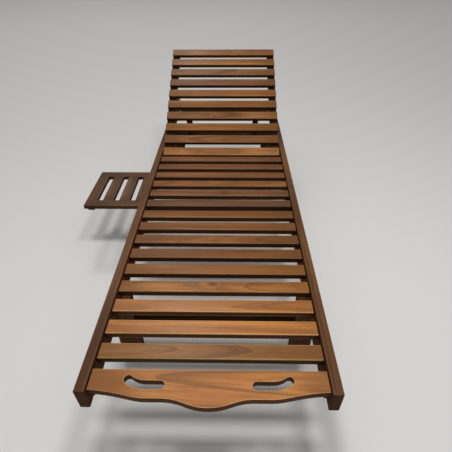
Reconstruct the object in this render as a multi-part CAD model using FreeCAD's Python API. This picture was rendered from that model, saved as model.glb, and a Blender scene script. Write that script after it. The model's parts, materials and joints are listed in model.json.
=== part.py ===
"""Slatted timber sun lounger with a reclining back, its prop and a pull-out side tray.

Lengths are in millimetres and angles in degrees. The pieces are drawn about the bed: x runs
across it from its middle plane, y along it from the foot ends of the rails, and z up from the
ground. Export then moves them to the part's own frame, whose origin lies on the ground under
the middle of the whole lounger, with the tray pulled out and the back raised.
"""
import FreeCAD, Part
import math
import os

Vector = FreeCAD.Vector
ACROSS = Vector(1.0, 0.0, 0.0)
ALONG = Vector(0.0, 1.0, 0.0)
UP = Vector(0.0, 0.0, 1.0)

# Side rails
bed_width = 640.0            # over the outer faces of the two rails
rail_thickness = 26.0
rail_height = 76.0
rail_top = 330.0             # above the ground
rail_easing = 2.5            # rounding of the long edges

# Slats of the seat and the back
slat_width = 45.0
slat_gap = 30.0
slat_thickness = 20.0
slat_recess = 6.0            # slat tops below the rail tops
slat_end_gap = 3.0           # seat slat end to rail
slat_easing = 2.0
seat_slat_count = 15
back_slat_count = 10

# Ledgers that carry the seat slats along the rails
ledger_width = 15.0
ledger_height = 16.0
ledger_setback = 14.0        # from the foot end of the rails
ledger_hinge_gap = 7.0       # ledger to the round ends of the back's stiles

# Foot board with its wavy front edge and two hand holes
board_setback = 63.0         # back edge of the board from the foot ends of the rails
board_middle_depth = 93.0    # depth at the bulge in the middle
board_shoulder_depth = 72.5
board_end_depth = 53.0
board_shoulder_start = 112.0
board_shoulder_length = 38.0 # level part between the bulge and the outer sweep
board_bulge_fullness = 0.45  # share of the bulge over which its curve stays level at each end
board_sweep_fullness = 0.54  # share of the sweep over which it leaves the end of the board
board_sweep_rise = 0.23      # share of the sweep's depth gained over that stretch
board_sweep_level = 0.25     # share of the sweep that stays level at the shoulder
board_easing = 2.5
hand_hole_width = 22.0
hand_hole_start = 117.0      # middle of its round inner end, from the middle of the board
hand_hole_straight = 38.0    # from there to where it turns towards the back edge
hand_hole_run = 42.0         # of the turning part, across the bed
hand_hole_depth = 39.5       # middle of the straight part, from the back edge of the board
hand_hole_rise = 13.5        # how far the outer end lies nearer to the back edge

# Legs and cross rails
front_leg_width = 64.0       # across the bed, from the outer face of the rail
leg_depth = 48.0             # along the bed
leg_easing = 3.0
front_leg_setback = 290.0    # from the foot ends of the rails to the front faces
front_rail_drop = 55.0       # cross rail between the front legs below the slats
head_leg_lead = 56.0         # front faces ahead of the foot bar when the back lies flat
cross_rail_thickness = 26.0
cross_rail_height = 46.0
head_rail_height = 64.0
cross_rail_easing = 2.0

# Reclining back
stile_width = 37.0
stile_depth = 26.0
back_side_gap = 8.0          # stile to rail
back_gap = 26.5              # last seat slat to first back slat when the back lies flat
back_end_gap = 39.5          # back to the head end rail when it lies flat
hinge_setback = 9.0          # from the last seat slat to the hinge axis
back_top_angle = 42.0        # above the horizontal, in the steepest notch
leg_top_gap = 2.0            # head leg to the stile above it when the back lies flat

# Prop that holds the back up on the racks
pivot_slat = 4               # the pivot rod lies under the upper edge of this back slat
prop_length = 185.0          # pivot rod to foot bar, centre to centre
prop_arm_width = 22.0
prop_arm_thickness = 28.0
prop_flat_droop = 1.2        # below the back when that lies flat
prop_turn_rate = 1.957       # degrees that the prop sinks for each degree that the back rises
pivot_rod_diameter = 12.0
pivot_rod_seat = 26.0        # depth of the rod in each stile
foot_bar_diameter = 26.0
foot_bar_chamfer = 2.0
foot_bar_end_gap = 3.0       # foot bar to the inner face of a head leg
tenon_diameter = 12.0
tenon_length = 14.0
arm_to_rack_gap = 24.0

# Racks that the foot bar stands on
rack_thickness = 30.0
rack_side_gap = 3.0          # rack to the stile that sinks beside it
rack_wall = 26.0             # timber left under the lowest notch
rack_foot_drop = 12.0        # foot of the rack below the top of the hinge cross rail
rack_end_margin = 20.0       # beyond the foot bar when the back lies flat
rack_end_fall = 14.0         # of the rack's top behind the foot bar when the back lies flat
rack_bar_gap = 0.5           # between the foot bar and the crests
notch_drop = 3.0
notch_room = 1.0
notch_count = 5
notch_step = 7.0             # angle of the back from notch to notch
rest_notch = 2               # notch that the back stands in, counted from the steepest
guide_gap = 4.0              # rack and hinge cross rail to the tray guide that they pass over
rack_taper = 40.0
cross_rail_bar_gap = 3.0     # head cross rail to the foot bar that passes over it

# Pull-out tray and its guides
tray_reach = 277.0           # beyond the outer face of the rail
tray_setback = 875.0         # from the foot ends of the rails to the tray's near edge
tray_length = 292.0          # along the bed
tray_thickness = 18.0
tray_drop = 6.0              # tray top below the rails
tray_board_width = 47.0
tray_slot = 26.0
tray_end_width = 44.0
tray_tongue = 100.0          # length still in the guides when the tray is out
tray_easing = 1.5
tray_board_count = 4
guide_wall = 18.0
guide_groove = 10.0
guide_lip = 6.0
slide_gap = 0.3              # tray to groove, above and below
slide_end_gap = 0.5          # tray to groove bottom
stop_setback = 12.0          # from the tray's outer edge
stop_inset = 9.0             # from the tray's near and far edges
stop_width = 28.0
stop_length = 40.0
stop_height = 12.0

# Fastenings
fit_gap = 0.05               # radial clearance of pins, bolts and tenons
face_gap = 0.3               # between faces that turn past each other
hinge_bolt_diameter = 10.0
hinge_bolt_seat = 30.0       # depth in the stile
hinge_head_diameter = 20.0
leg_bolt_diameter = 8.0
leg_bolt_seat = 26.0         # depth in the leg
leg_bolt_inset = 12.0        # from the leg's front and rear faces
leg_head_diameter = 18.0
bolt_head_height = 4.0
bolt_head_sink = 1.0         # head below the face of the rail
bolt_head_room = 0.5
bolt_end_room = 1.0
screw_diameter = 4.0
screw_head_diameter = 8.0
screw_head_height = 2.0
screw_seat = 12.0            # depth in the slat
screw_room = 0.1
screw_end_room = 0.5

# Levels and lines that follow from the sizes above
rail_outer = bed_width / 2.0
rail_inner = rail_outer - rail_thickness
rail_under = rail_top - rail_height
slat_top = rail_top - slat_recess
slat_under = slat_top - slat_thickness
slat_pitch = slat_width + slat_gap
seat_slat_half = rail_inner - slat_end_gap
ledger_under = slat_under - ledger_height
ledger_inner = rail_inner - ledger_width
seat_end = board_setback + seat_slat_count * slat_pitch
hinge_y = seat_end + hinge_setback
hinge_z = slat_under - stile_depth / 2.0
ledger_end = hinge_y - stile_depth / 2.0 - ledger_hinge_gap
stile_under = slat_under - stile_depth
back_half = rail_inner - back_side_gap
stile_inner = back_half - stile_width
back_start = back_gap - hinge_setback
back_length = back_start + back_slat_count * slat_pitch - slat_gap
back_rest_angle = back_top_angle - rest_notch * notch_step
rail_length = hinge_y + back_length + back_end_gap + cross_rail_thickness
front_leg_inner = rail_outer - front_leg_width
head_leg_inner = stile_inner - rack_side_gap
head_leg_top = stile_under - leg_top_gap
hinge_rail_y = seat_end - slat_width
hinge_rail_end = hinge_rail_y + cross_rail_thickness
hinge_rail_under = rail_under + guide_gap
rack_inner = head_leg_inner - rack_thickness
arm_outer = rack_inner - arm_to_rack_gap
arm_inner = arm_outer - prop_arm_thickness
foot_bar_half = head_leg_inner - foot_bar_end_gap
foot_bar_radius = foot_bar_diameter / 2.0
pivot_reach = back_start + pivot_slat * slat_pitch - slat_gap
head_leg_y = hinge_y + pivot_reach + prop_length - head_leg_lead
prop_turn = (1.0 + prop_turn_rate) * back_rest_angle
tray_top = rail_under - tray_drop
tray_under = tray_top - tray_thickness
tray_end = tray_setback + tray_length
tray_edge = -(rail_outer + tray_reach)
board_shoulder_end = board_shoulder_start + board_shoulder_length
hand_hole_bend = hand_hole_start + hand_hole_straight
hinge_point = Vector(0.0, hinge_y, hinge_z)
pivot_point = Vector(0.0, hinge_y + pivot_reach, hinge_z)

# The part's own frame: the middle of the ground under the whole lounger
board_front = board_setback - board_middle_depth
to_part_frame = Vector(tray_reach / 2.0, -(board_front + rail_length) / 2.0, 0.0)


def block(x0, x1, y0, y1, z0, z1):
    """Return the block between two corners, whichever way round x is given."""
    corner = Vector(min(x0, x1), y0, z0)
    return Part.makeBox(abs(x1 - x0), y1 - y0, z1 - z0, corner)


def runs_along(edge, axis):
    """Tell whether an edge is straight and parallel to an axis."""
    if edge.Curve.TypeId != "Part::GeomLine":
        return False
    return abs(edge.tangentAt(edge.FirstParameter).dot(axis)) > 0.999


def eased(shape, axis, radius):
    """Round the straight edges of a shape that run along one axis."""
    return shape.makeFillet(radius, [edge for edge in shape.Edges if runs_along(edge, axis)])


def pin(diameter, length, start, axis):
    """Return a round pin from a starting point along an axis."""
    return Part.makeCylinder(diameter / 2.0, length, start, axis)


def hole(diameter, length, start, axis):
    """Return the hole that a round pin fits in."""
    return pin(diameter + 2.0 * fit_gap, length, start, axis)


def extruded(edges, travel):
    """Close a run of edges into a face and extrude it."""
    return Part.Face(Part.Wire(Part.__sortEdges__(edges))).extrude(travel)


def line(start, end):
    """Return a straight edge."""
    return Part.makeLine(start, end)


def bezier(*poles):
    """Return a Bezier edge through its end poles."""
    curve = Part.BezierCurve()
    curve.setPoles(list(poles))
    return curve.toShape()


def group(solids):
    """Return separate solids as one group."""
    return Part.makeCompound(solids)


def export(name, shape):
    """Move a piece to the part's own frame and write it."""
    placed = shape.copy()
    placed.translate(to_part_frame)
    placed.exportStep("parts/" + name + ".step")


def raised(shape):
    """Turn a piece of the back from its flat place to the angle at which it stands."""
    turned = shape.copy()
    turned.rotate(hinge_point, ACROSS, back_rest_angle)
    return turned


def propped(shape):
    """Turn a piece of the prop from its flat place to where it stands."""
    turned = shape.copy()
    turned.rotate(pivot_point, ACROSS, -prop_turn)
    return raised(turned)


def screw(start, length, axis):
    """Return a countersunk wood screw with its head at the starting point."""
    head = Part.makeCone(screw_head_diameter / 2.0, screw_diameter / 2.0,
                         screw_head_height, start, axis)
    return head.fuse(pin(screw_diameter, length, start, axis)).removeSplitter()


def screw_hole(start, length, axis):
    """Return the countersunk hole for a wood screw."""
    room = screw_room
    head = Part.makeCone(screw_head_diameter / 2.0 + room, screw_diameter / 2.0 + room,
                         screw_head_height, start, axis)
    return head.fuse(pin(screw_diameter + 2.0 * room, length + screw_end_room, start, axis))


def bolt(side, y, z, diameter, head_diameter, seat_end_x):
    """Return a bolt across the bed, with its head sunk in the outer face of a rail."""
    inward = ACROSS * -side
    head_start = Vector(side * (rail_outer - bolt_head_sink), y, z)
    head = pin(head_diameter, bolt_head_height, head_start, inward)
    shank = pin(diameter, rail_outer - bolt_head_sink - seat_end_x, head_start, inward)
    return head.fuse(shank).removeSplitter()


def bolt_hole(side, y, z, diameter, head_diameter, seat_end_x):
    """Return the counterbored hole for a bolt across the bed."""
    inward = ACROSS * -side
    face = Vector(side * rail_outer, y, z)
    bore = pin(head_diameter + 2.0 * bolt_head_room, bolt_head_sink + bolt_head_height, face, inward)
    return bore.fuse(hole(diameter, rail_outer - seat_end_x + bolt_end_room, face, inward))


# Lines of slats and screws
seat_slat_starts = [seat_end - slat_width - index * slat_pitch for index in range(seat_slat_count)]
back_slat_starts = [hinge_y + back_start + index * slat_pitch for index in range(back_slat_count)]
ledger_screw_x = (ledger_inner + seat_slat_half) / 2.0
stile_screw_x = back_half - stile_width / 2.0
board_screw_y = board_setback - board_end_depth / 2.0
seat_screw_ys = [start + slat_width / 2.0 for start in seat_slat_starts] + [board_screw_y]
back_screw_ys = [start + slat_width / 2.0 for start in back_slat_starts]


def seat_screws(make, side):
    """Make a screw, or its hole, under each end of the seat slats and the foot board on one side."""
    length = ledger_height + screw_seat
    return [make(Vector(side * ledger_screw_x, y, ledger_under), length, UP) for y in seat_screw_ys]


def back_screws(make, side):
    """Make a screw, or its hole, under one end of each back slat, with the back flat."""
    length = stile_depth + screw_seat
    return [make(Vector(side * stile_screw_x, y, stile_under), length, UP) for y in back_screw_ys]


front_bolt_z = (rail_under + ledger_under) / 2.0
head_bolt_z = (rail_under + head_leg_top) / 2.0
leg_bolt_end_x = rail_inner - leg_bolt_seat
hinge_bolt_end_x = back_half - hinge_bolt_seat


def leg_bolts(make, side):
    """Make the two bolts of each leg, or their holes, on one side."""
    made = []
    for leg_y, z in ((front_leg_setback, front_bolt_z), (head_leg_y, head_bolt_z)):
        for y in (leg_y + leg_bolt_inset, leg_y + leg_depth - leg_bolt_inset):
            made.append(make(side, y, z, leg_bolt_diameter, leg_head_diameter, leg_bolt_end_x))
    return made


def rail(side):
    """Return a side rail, drilled for its leg bolts and the hinge bolt."""
    timber = block(side * rail_inner, side * rail_outer, 0.0, rail_length, rail_under, rail_top)
    timber = eased(timber, ALONG, rail_easing)
    holes = leg_bolts(bolt_hole, side)
    holes.append(bolt_hole(side, hinge_y, hinge_z, hinge_bolt_diameter, hinge_head_diameter,
                           hinge_bolt_end_x))
    return timber.cut(holes)


def ledger(side):
    """Return the strip along a rail that the seat slats are screwed to."""
    timber = block(side * ledger_inner, side * rail_inner, ledger_setback, ledger_end,
                   ledger_under, slat_under)
    return timber.cut(seat_screws(screw_hole, side))


def leg(side, inner, y, top):
    """Return a leg that laps the inner face of a rail, which stands on its shoulder."""
    timber = block(side * inner, side * rail_outer, y, y + leg_depth, 0.0, top)
    timber = eased(timber, UP, leg_easing)
    seat = block(side * rail_inner, side * rail_outer, y, y + leg_depth, rail_under, top)
    return timber.cut([seat] + leg_bolts(bolt_hole, side))


def front_leg(side):
    """Return a front leg, notched round the ledger."""
    y = front_leg_setback
    notch = block(side * ledger_inner, side * rail_inner, y, y + leg_depth, ledger_under, slat_under)
    return leg(side, front_leg_inner, y, slat_under).cut(notch)


def head_leg(side):
    """Return a head leg, which ends under the back's stile and carries a rack on its inner face."""
    return leg(side, head_leg_inner, head_leg_y, head_leg_top)


def cross_rail(half, y, z0, z1):
    """Return a rail across the bed, from y towards the head."""
    timber = block(-half, half, y, y + cross_rail_thickness, z0, z1)
    return eased(timber, ACROSS, cross_rail_easing)


def front_cross_rail():
    """Return the cross rail between the front legs."""
    y = front_leg_setback + (leg_depth - cross_rail_thickness) / 2.0
    top = slat_under - front_rail_drop
    return cross_rail(front_leg_inner, y, top - cross_rail_height, top)


def hinge_cross_rail():
    """Return the cross rail at the end of the seat, notched round the ledgers."""
    timber = cross_rail(rail_inner, hinge_rail_y, hinge_rail_under, slat_under)
    notches = []
    for side in (-1.0, 1.0):
        notches.append(block(side * ledger_inner, side * rail_outer, hinge_rail_y, ledger_end,
                             ledger_under, rail_top))
    return timber.cut(notches)


def head_cross_rail():
    """Return the cross rail between the racks, low enough for the foot bar to pass over it."""
    y = head_leg_y + (leg_depth - cross_rail_thickness) / 2.0
    top = lowest_bar_under() - cross_rail_bar_gap
    return cross_rail(rack_inner, y, top - cross_rail_height, top)


def head_end_rail():
    """Return the rail that joins the head ends of the side rails."""
    y = rail_length - cross_rail_thickness
    return cross_rail(rail_inner, y, slat_under - head_rail_height, slat_under)


def seat_slat(start, holes):
    """Return a seat slat from its near edge, drilled from below."""
    timber = block(-seat_slat_half, seat_slat_half, start, start + slat_width, slat_under, slat_top)
    return eased(timber, ACROSS, slat_easing).cut(holes)


def hand_hole(side):
    """Return the cut for a hand hole: a round-ended slot that bends towards the board's back edge."""
    half = hand_hole_width / 2.0
    bend_radius = (hand_hole_run ** 2 + hand_hole_rise ** 2) / (2.0 * hand_hole_rise)
    turn = math.asin(hand_hole_run / bend_radius)
    straight_y = board_setback - hand_hole_depth
    centre_y = straight_y + bend_radius

    def on_bend(radius, angle):
        x = hand_hole_bend + radius * math.sin(angle)
        return Vector(side * x, centre_y - radius * math.cos(angle), slat_under)

    def bend(radius):
        ends = [on_bend(radius, angle) for angle in (0.0, turn / 2.0, turn)]
        return Part.Arc(*ends).toShape()

    start = [Vector(side * hand_hole_start, straight_y + offset, slat_under) for offset in (-half, half)]
    start_tip = Vector(side * (hand_hole_start - half), straight_y, slat_under)
    middle = on_bend(bend_radius, turn)
    end_tip = middle + Vector(side * math.cos(turn), math.sin(turn), 0.0) * half
    near, far = bend_radius + half, bend_radius - half
    edges = [line(start[0], on_bend(near, 0.0)), bend(near),
             Part.Arc(on_bend(near, turn), end_tip, on_bend(far, turn)).toShape(),
             bend(far), line(on_bend(far, 0.0), start[1]),
             Part.Arc(start[1], start_tip, start[0]).toShape()]
    return extruded(edges, UP * slat_thickness)


def foot_board():
    """Return the board at the foot, with its wavy front edge and two hand holes."""

    def point(x, depth):
        return Vector(x, board_setback - depth, slat_under)

    end = seat_slat_half
    bulge_level = board_bulge_fullness * board_shoulder_start
    sweep_run = end - board_shoulder_end
    sweep_depth = board_shoulder_depth - board_end_depth
    sweep_middle = end - board_sweep_fullness * sweep_run
    sweep_start = board_shoulder_end + board_sweep_level * sweep_run
    edges = [line(point(-end, 0.0), point(end, 0.0))]
    for side in (-1.0, 1.0):
        edges.append(line(point(side * end, 0.0), point(side * end, board_end_depth)))
        edges.append(bezier(
            point(side * end, board_end_depth),
            point(side * sweep_middle, board_end_depth + board_sweep_rise * sweep_depth),
            point(side * sweep_start, board_shoulder_depth),
            point(side * board_shoulder_end, board_shoulder_depth)))
        edges.append(line(point(side * board_shoulder_end, board_shoulder_depth),
                          point(side * board_shoulder_start, board_shoulder_depth)))
        edges.append(bezier(
            point(side * board_shoulder_start, board_shoulder_depth),
            point(side * (board_shoulder_start - bulge_level), board_shoulder_depth),
            point(side * bulge_level, board_middle_depth),
            point(0.0, board_middle_depth)))
    board = extruded(edges, UP * slat_thickness).cut([hand_hole(-1.0), hand_hole(1.0)])
    top = max(board.Faces, key=lambda face: face.CenterOfMass.z)
    board = board.makeFillet(board_easing, top.Edges)
    return board.cut(seat_screws(screw_hole, -1.0) + seat_screws(screw_hole, 1.0))


def stile(side):
    """Return a stile of the back, lying flat, rounded about the hinge axis."""
    outward = ACROSS * side
    timber = block(side * stile_inner, side * back_half, hinge_y, hinge_y + back_length,
                   stile_under, slat_under)
    knuckle = pin(stile_depth, stile_width, hinge_point + outward * stile_inner, outward)
    timber = timber.fuse(knuckle).removeSplitter()
    hinge_bore = hole(hinge_bolt_diameter, hinge_bolt_seat + bolt_end_room,
                      hinge_point + outward * back_half, -outward)
    rod_bore = hole(pivot_rod_diameter, pivot_rod_seat + bolt_end_room,
                    pivot_point + outward * stile_inner, outward)
    return timber.cut([hinge_bore, rod_bore] + back_screws(screw_hole, side))


def back_slat(start):
    """Return a back slat, lying flat, drilled from below."""
    timber = block(-back_half, back_half, start, start + slat_width, slat_under, slat_top)
    holes = back_screws(screw_hole, -1.0) + back_screws(screw_hole, 1.0)
    return eased(timber, ACROSS, slat_easing).cut(holes)


def hinge_bolt(side):
    """Return the bolt that the back turns on, with a collar that keeps the stile off the rail."""
    shank = bolt(side, hinge_y, hinge_z, hinge_bolt_diameter, hinge_head_diameter, hinge_bolt_end_x)
    collar_start = hinge_point + ACROSS * (side * rail_inner)
    collar = pin(hinge_head_diameter, back_side_gap - face_gap, collar_start, ACROSS * -side)
    return shank.fuse(collar).removeSplitter()


def bar_centre(back_angle):
    """Return how far the foot bar lies beyond and above the hinge when the back is at an angle."""
    back = math.radians(back_angle)
    sink = math.radians(prop_flat_droop + prop_turn_rate * back_angle)
    reach = pivot_reach * math.cos(back) + prop_length * math.cos(sink)
    rise = pivot_reach * math.sin(back) - prop_length * math.sin(sink)
    return reach, rise


def bar_heading(back_angle):
    """Return the direction in which the foot bar moves as the back rises, as a unit pair."""
    back = math.radians(back_angle)
    sink = math.radians(prop_flat_droop + prop_turn_rate * back_angle)
    reach = -pivot_reach * math.sin(back) - prop_turn_rate * prop_length * math.sin(sink)
    rise = pivot_reach * math.cos(back) - prop_turn_rate * prop_length * math.cos(sink)
    length = math.hypot(reach, rise)
    return reach / length, rise / length


# Angles of the back at which the foot bar's path is worked out, and those of the notches
back_angle_steps = 12
back_angles = [back_top_angle * step / back_angle_steps for step in range(back_angle_steps + 1)]
notch_angles = [back_top_angle - notch_step * notch for notch in range(notch_count)]


def lowest_bar_under():
    """Return the lowest level that the underside of the foot bar comes to."""
    return hinge_z + min(bar_centre(angle)[1] for angle in back_angles) - foot_bar_radius


def crest_point(x, back_angle):
    """Return the point of the rack's crest that lies just under the foot bar."""
    reach, rise = bar_centre(back_angle)
    along, up = bar_heading(back_angle)
    offset = foot_bar_radius + rack_bar_gap
    return Vector(x, hinge_y + reach - up * offset, hinge_z + rise + along * offset)


def rack(side):
    """Return a notched rack, whose crest follows the foot bar from the flat back to the steepest."""
    x = side * rack_inner
    crest = [crest_point(x, angle) for angle in back_angles]
    head_y = crest[0].y + foot_bar_radius + rack_end_margin
    under = lowest_bar_under() - notch_drop - notch_room - rack_wall
    step_y = tray_end + guide_wall + slide_end_gap + guide_gap
    corners = [Vector(x, crest[-1].y - foot_bar_diameter, crest[-1].z),
               Vector(x, hinge_rail_end, slat_under - rack_foot_drop),
               Vector(x, hinge_rail_end, hinge_rail_under),
               Vector(x, step_y, hinge_rail_under),
               Vector(x, step_y + rack_taper, under),
               Vector(x, head_y, under),
               Vector(x, head_y, crest[0].z - rack_end_fall)]
    curve = Part.BSplineCurve()
    curve.interpolate(crest)
    outline = [crest[-1]] + corners + [crest[0]]
    edges = [line(start, end) for start, end in zip(outline, outline[1:])] + [curve.toShape()]
    timber = extruded(edges, ACROSS * (side * rack_thickness))
    notches = []
    for angle in notch_angles:
        reach, rise = bar_centre(angle)
        start = Vector(min(x, side * head_leg_inner), hinge_y + reach, hinge_z + rise - notch_drop)
        notches.append(pin(foot_bar_diameter + 2.0 * notch_room, rack_thickness, start, ACROSS))
    return timber.cut(notches)


def prop_heading():
    """Return the direction of the prop when the back lies flat."""
    droop = math.radians(prop_flat_droop)
    return Vector(0.0, math.cos(droop), -math.sin(droop))


foot_bar_point = pivot_point + prop_heading() * prop_length


def prop_arm(side):
    """Return an arm of the prop, lying flat, coped and tenoned into the foot bar."""
    half = prop_arm_width / 2.0
    x0 = min(side * arm_inner, side * arm_outer)
    timber = block(x0, x0 + prop_arm_thickness, pivot_point.y, pivot_point.y + prop_length,
                   hinge_z - half, hinge_z + half)
    eye = pin(prop_arm_width, prop_arm_thickness, pivot_point + ACROSS * x0, ACROSS)
    timber = timber.fuse(eye).removeSplitter()
    timber.rotate(pivot_point, ACROSS, -prop_flat_droop)
    cope = hole(foot_bar_diameter, prop_arm_thickness, foot_bar_point + ACROSS * x0, ACROSS)
    rod_bore = hole(pivot_rod_diameter, prop_arm_thickness, pivot_point + ACROSS * x0, ACROSS)
    tenon_start = arm_foot(side) - prop_heading() * tenon_length
    tenon = pin(tenon_diameter, 2.0 * tenon_length, tenon_start, prop_heading())
    return timber.cut([cope, rod_bore]).fuse(tenon).removeSplitter()


def arm_foot(side):
    """Return the point where the middle of an arm meets the foot bar."""
    middle = ACROSS * (side * (arm_inner + arm_outer) / 2.0)
    return foot_bar_point + middle - prop_heading() * foot_bar_radius


def foot_bar():
    """Return the foot bar of the prop, lying flat, bored for the arms' tenons."""
    start = foot_bar_point - ACROSS * foot_bar_half
    bar = pin(foot_bar_diameter, 2.0 * foot_bar_half, start, ACROSS)
    ends = [edge for edge in bar.Edges if edge.Curve.TypeId == "Part::GeomCircle"]
    bar = bar.makeChamfer(foot_bar_chamfer, ends)
    mortises = []
    for side in (-1.0, 1.0):
        start = arm_foot(side) - prop_heading() * tenon_length
        mortises.append(hole(tenon_diameter, 2.0 * tenon_length + screw_end_room, start, prop_heading()))
    return bar.cut(mortises)


def pivot_rod():
    """Return the rod that the prop turns on, between the stiles."""
    half = stile_inner + pivot_rod_seat
    return pin(pivot_rod_diameter, 2.0 * half, pivot_point - ACROSS * half, ACROSS)


def tray_board(index):
    """Return one of the boards of the tray that run along the bed, counted from the outer edge."""
    x0 = tray_edge + index * (tray_board_width + tray_slot)
    ends = 0.0 if index == 0 else tray_end_width
    timber = block(x0, x0 + tray_board_width, tray_setback + ends, tray_end - ends, tray_under, tray_top)
    return eased(timber, ALONG, tray_easing)


def tray_end_rail(y):
    """Return a rail of the tray across its boards, whose tongue stays in a guide."""
    timber = block(tray_edge + tray_board_width, -rail_outer + tray_tongue, y, y + tray_end_width,
                   tray_under, tray_top)
    return eased(timber, ACROSS, tray_easing)


def tray_stop(y):
    """Return a block under the tray that meets the guide when the tray is pushed in."""
    x0 = tray_edge + stop_setback
    return block(x0, x0 + stop_width, y, y + stop_length, tray_under - stop_height, tray_under)


def tray_guide(inner_face, outer_face):
    """Return a grooved guide under both rails, from its face at the tray to its outer face."""
    floor = tray_under - slide_gap - guide_lip
    timber = block(-rail_outer, rail_outer, min(inner_face, outer_face), max(inner_face, outer_face),
                   floor, rail_under)
    groove_end = inner_face + math.copysign(guide_groove, outer_face - inner_face)
    groove = block(-rail_outer, rail_outer, min(inner_face, groove_end), max(inner_face, groove_end),
                   tray_under - slide_gap, tray_top + slide_gap)
    return timber.cut(groove)


def build_bed():
    """Make the fixed frame of the lounger."""
    for name, side in (("left", -1.0), ("right", 1.0)):
        export(name + "_rail", rail(side))
        export(name + "_seat_ledger", ledger(side))
        export(name + "_front_leg", front_leg(side))
        export(name + "_head_leg", head_leg(side))
        export(name + "_rack", rack(side))
    export("front_cross_rail", front_cross_rail())
    export("hinge_cross_rail", hinge_cross_rail())
    export("head_cross_rail", head_cross_rail())
    export("head_end_rail", head_end_rail())
    holes = seat_screws(screw_hole, -1.0) + seat_screws(screw_hole, 1.0)
    for index, start in enumerate(seat_slat_starts):
        export("seat_slat_%02d" % (index + 1), seat_slat(start, holes))
    export("foot_board", foot_board())
    groove_reach = guide_groove - slide_end_gap
    wall_reach = slide_end_gap + guide_wall
    export("tray_front_guide", tray_guide(tray_setback + groove_reach, tray_setback - wall_reach))
    export("tray_rear_guide", tray_guide(tray_end - groove_reach, tray_end + wall_reach))


def build_fastenings():
    """Make the bolts and screws, each kind as one group of separate solids."""
    export("hinge_bolts", group([hinge_bolt(-1.0), hinge_bolt(1.0)]))
    export("leg_bolts", group(leg_bolts(bolt, -1.0) + leg_bolts(bolt, 1.0)))
    export("seat_slat_screws", group(seat_screws(screw, -1.0) + seat_screws(screw, 1.0)))
    export("back_slat_screws", raised(group(back_screws(screw, -1.0) + back_screws(screw, 1.0))))


def build_back():
    """Make the reclining back at the angle at which it stands."""
    export("left_back_stile", raised(stile(-1.0)))
    export("right_back_stile", raised(stile(1.0)))
    for index, start in enumerate(back_slat_starts):
        export("back_slat_%02d" % (index + 1), raised(back_slat(start)))


def build_prop():
    """Make the prop as it stands on the racks."""
    export("prop_left_arm", propped(prop_arm(-1.0)))
    export("prop_right_arm", propped(prop_arm(1.0)))
    export("prop_pivot_rod", propped(pivot_rod()))
    export("prop_foot_bar", propped(foot_bar()))


def build_tray():
    """Make the tray, pulled out."""
    names = ["tray_outer_stile", "tray_outer_slat", "tray_inner_slat", "tray_inner_stile"]
    for index in range(tray_board_count):
        export(names[index], tray_board(index))
    export("tray_front_rail", tray_end_rail(tray_setback))
    export("tray_rear_rail", tray_end_rail(tray_end - tray_end_width))
    stop_starts = (tray_setback + stop_inset, tray_end - stop_inset - stop_length)
    export("tray_stop_blocks", group([tray_stop(y) for y in stop_starts]))


os.makedirs("parts", exist_ok=True)
build_bed()
build_fastenings()
build_back()
build_prop()
build_tray()
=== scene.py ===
"""Looks of the slatted sun lounger: oiled teak boards, steel fastenings, studio and camera.

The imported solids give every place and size. Each board is modelled again with rounded arrises, and
each of its points knows where in the log it was cut from, so that rings, knots and end grain run
through it. Lengths are in metres.
"""

import json
import logging
import math
import random
from dataclasses import dataclass, field
from enum import Enum
from typing import ClassVar, Iterable, Optional, Sequence, Union

import bmesh
import bpy
from mathutils import Matrix, Vector
from mathutils.geometry import interpolate_bezier


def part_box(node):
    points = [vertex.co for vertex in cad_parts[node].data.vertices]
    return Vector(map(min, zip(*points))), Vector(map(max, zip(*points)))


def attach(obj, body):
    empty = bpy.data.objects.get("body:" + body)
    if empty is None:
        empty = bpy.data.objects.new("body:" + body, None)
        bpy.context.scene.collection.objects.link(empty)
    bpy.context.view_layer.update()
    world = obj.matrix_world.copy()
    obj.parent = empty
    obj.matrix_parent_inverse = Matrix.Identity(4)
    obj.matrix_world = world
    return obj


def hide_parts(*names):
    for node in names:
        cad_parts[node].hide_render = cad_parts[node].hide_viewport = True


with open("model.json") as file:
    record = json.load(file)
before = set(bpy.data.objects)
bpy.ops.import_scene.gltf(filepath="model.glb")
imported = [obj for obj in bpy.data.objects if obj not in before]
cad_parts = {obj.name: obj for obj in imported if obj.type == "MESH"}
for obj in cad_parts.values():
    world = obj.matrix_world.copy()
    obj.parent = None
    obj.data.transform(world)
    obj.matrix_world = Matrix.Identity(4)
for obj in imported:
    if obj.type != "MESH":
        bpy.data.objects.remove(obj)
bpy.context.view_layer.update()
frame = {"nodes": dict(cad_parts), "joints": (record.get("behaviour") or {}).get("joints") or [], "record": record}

log = logging.getLogger("sun_lounger")

Triple = tuple[float, float, float]
Opaque = tuple[float, float, float, float]
Pair = tuple[float, float]
Feed = Union[bpy.types.NodeSocket, float, Sequence[float]]

LOG_PLACE = "log_place"
KNOT_PLACE = "knot_place"
REACH = "reach"
ARRIS = "arris"
PAINTED_SHADE_AND_END_GRAIN = "shelter"
FAR_FROM_KNOTS = Vector((1.0, 1.0, 1.0))
SAME_PLACE = 1e-6
SMOOTH_UP_TO = math.radians(40.0)

BODY_OF_NODE = {node: body for body, nodes in frame["record"]["behaviour"]["bodies"].items()
                for node in nodes}
JOINTS = {joint["name"]: joint for joint in frame["joints"]}


class Side(Enum):
    """A side of the bed, with the way across the bed that points inwards from it."""

    LEFT = 1.0
    RIGHT = -1.0

    def piece(self, kind: str) -> str:
        """Return the node of this side's piece of a kind."""
        return f"{self.name.lower()}_{kind}"

    def outer_face(self, node: str) -> float:
        """Return where the outer face of a piece on this side lies across the bed."""
        low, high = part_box(node)
        return low.x if self is Side.LEFT else high.x


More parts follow.
